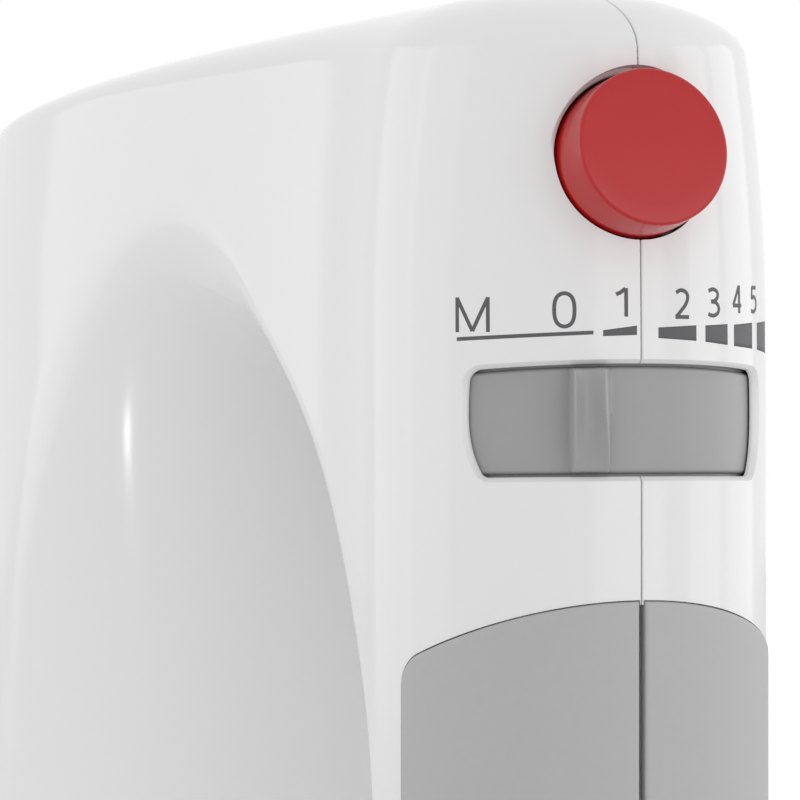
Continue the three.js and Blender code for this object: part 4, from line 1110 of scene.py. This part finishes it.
for side, name, teeth in ((-1, "left", 12), (1, "right", 0)):
    x = side * SPINDLE_X
    wires = new_mesh(f"wire_beater_{name}", beater_parts(x, 0 if side < 0 else math.pi / 4))
    wires.data.set_sharp_from_angle(angle=math.radians(40))
    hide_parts(f"beater_{name}")
    wear(wires, chrome_plate, f"whisk_{name}")
    collar = new_mesh(f"drive_collar_{name}", [collar_part(x, teeth)])
    collar.data.set_sharp_from_angle(angle=math.radians(40))
    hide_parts(f"beater_collar_{name}")
    finish, slot = (grey_abs, "switch_grey") if side < 0 else (black_nylon, "black_plastic")
    wear(collar, finish, f"whisk_{name}")
    bush = new_mesh(f"socket_bush_{name}", [bush_part(x)])
    bush.data.set_sharp_from_angle(angle=math.radians(40))
    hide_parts(f"spindle_bush_{name}")
    wear(bush, natural_acetal, "housing")

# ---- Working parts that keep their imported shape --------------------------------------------
CARRIED = {
    black_nylon: (
        "switch_carriage speed_switch ejector_yoke "
        "gearbox_tray gearbox_cover cooling_fan rear_bracket"
    ),
    board_green: "switch_board",
    ground_steel: (
        "ejector_spring motor_shaft "
        "screw_grip_front screw_grip_rear screw_nose screw_underside screw_heel"
    ),
    natural_acetal: "worm_gear_left worm_gear_right terminal_block",
    lamination: "armature_core stator_core",
    enamelled_copper: "armature_winding commutator field_coil_left field_coil_right",
    brass: "rear_bearing front_bearing brush_holder_left brush_holder_right",
    carbon: "brush_left brush_right",
    dipped_resin: "suppression_capacitor",
    inlet_rubber: "cord_gland",
}
for finish, names in CARRIED.items():
    for node_name in names.split():
        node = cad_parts[node_name]
        node.data.materials.clear()
        node.data.materials.append(finish)

# ---- Floor, world and lamps ----------------------------------------------------------------
world = bpy.data.worlds.new("studio")
bpy.context.scene.world = world
world.use_nodes = True
world.node_tree.nodes.clear()
path = add_node(world.node_tree, "ShaderNodeLightPath")
seen = add_node(
    world.node_tree,
    "ShaderNodeMath",
    {0: path.outputs["Is Camera Ray"], 1: path.outputs["Is Glossy Ray"]},
    operation="MAXIMUM",
)
seen = add_node(
    world.node_tree,
    "ShaderNodeMath",
    {0: seen.outputs[0], 1: path.outputs["Is Transmission Ray"]},
    operation="MAXIMUM",
)
# The sky lights the scene a little less than it shows to the camera and in reflections.
WHITE = (1, 1, 1, 1)
lit = add_node(world.node_tree, "ShaderNodeBackground", {"Color": WHITE, "Strength": 0.82})
shown = add_node(world.node_tree, "ShaderNodeBackground", {"Color": WHITE, "Strength": 1.0})
mixed = add_node(
    world.node_tree,
    "ShaderNodeMixShader",
    {0: seen.outputs[0], 1: lit.outputs[0], 2: shown.outputs[0]},
)
add_node(world.node_tree, "ShaderNodeOutputWorld", {"Surface": mixed.outputs[0]})


def soft_box(name, place, aim, width, height, power):
    """A large soft lamp at a place, turned to face a point."""
    lamp = bpy.data.lights.new(name, "AREA")
    lamp.shape = "RECTANGLE"
    lamp.size, lamp.size_y, lamp.energy = width, height, power
    held = bpy.data.objects.new(name, lamp)
    bpy.context.scene.collection.objects.link(held)
    held.location = place
    held.rotation_euler = (Vector(aim) - Vector(place)).to_track_quat("-Z", "Y").to_euler()


HANDLE_AIM = (0, -0.1, 0.13)
MIDDLE_AIM = (0, 0, 0.13)
soft_box("front_soft_box", (0.5, -1.7, 0.2), HANDLE_AIM, 1.2, 1.2, 3.8)
soft_box("right_soft_box", (1.3, -0.7, 0.2), HANDLE_AIM, 0.6, 1.4, 2.6)
soft_box("left_soft_box", (-1.5, 0.1, 0.4), MIDDLE_AIM, 0.8, 1.2, 1.4)
soft_box("left_rear_soft_box", (-1.4, 0.9, 0.3), MIDDLE_AIM, 1.0, 1.2, 2.8)
soft_box("right_side_soft_box", (1.5, 0.1, 0.2), MIDDLE_AIM, 0.8, 1.2, 2.4)
# A small bulb low on the left gives the glint in the finger opening's wall.
soft_box("low_left_bulb", (-0.392, -0.113, 0.011), (-0.035, -0.045, 0.136), 0.012, 0.012, 0.013)

floor_mesh = bpy.data.meshes.new("floor")
floor_mesh.from_pydata([(-3, -3, 0), (3, -3, 0), (3, 3, 0), (-3, 3, 0)], [], [(0, 1, 2, 3)])
floor = bpy.data.objects.new("floor", floor_mesh)
bpy.context.scene.collection.objects.link(floor)
floor_finish = bpy.data.materials.new("pale_matt_floor")
floor_finish.use_nodes = True
floor_tree = floor_finish.node_tree
floor_tree.nodes.clear()
floor_path = add_node(floor_tree, "ShaderNodeLightPath")
floor_matt = add_node(floor_tree, "ShaderNodeBsdfDiffuse", {"Color": colour("#f4f4f4")})
floor_glow = add_node(
    floor_tree,
    "ShaderNodeEmission",
    {"Color": WHITE, "Strength": floor_path.outputs["Is Camera Ray"]},
)
floor_both = add_node(
    floor_tree, "ShaderNodeAddShader", {0: floor_matt.outputs[0], 1: floor_glow.outputs[0]}
)
add_node(floor_tree, "ShaderNodeOutputMaterial", {"Surface": floor_both.outputs[0]})
floor_mesh.materials.append(floor_finish)

bpy.context.scene.view_settings.view_transform = "Standard"
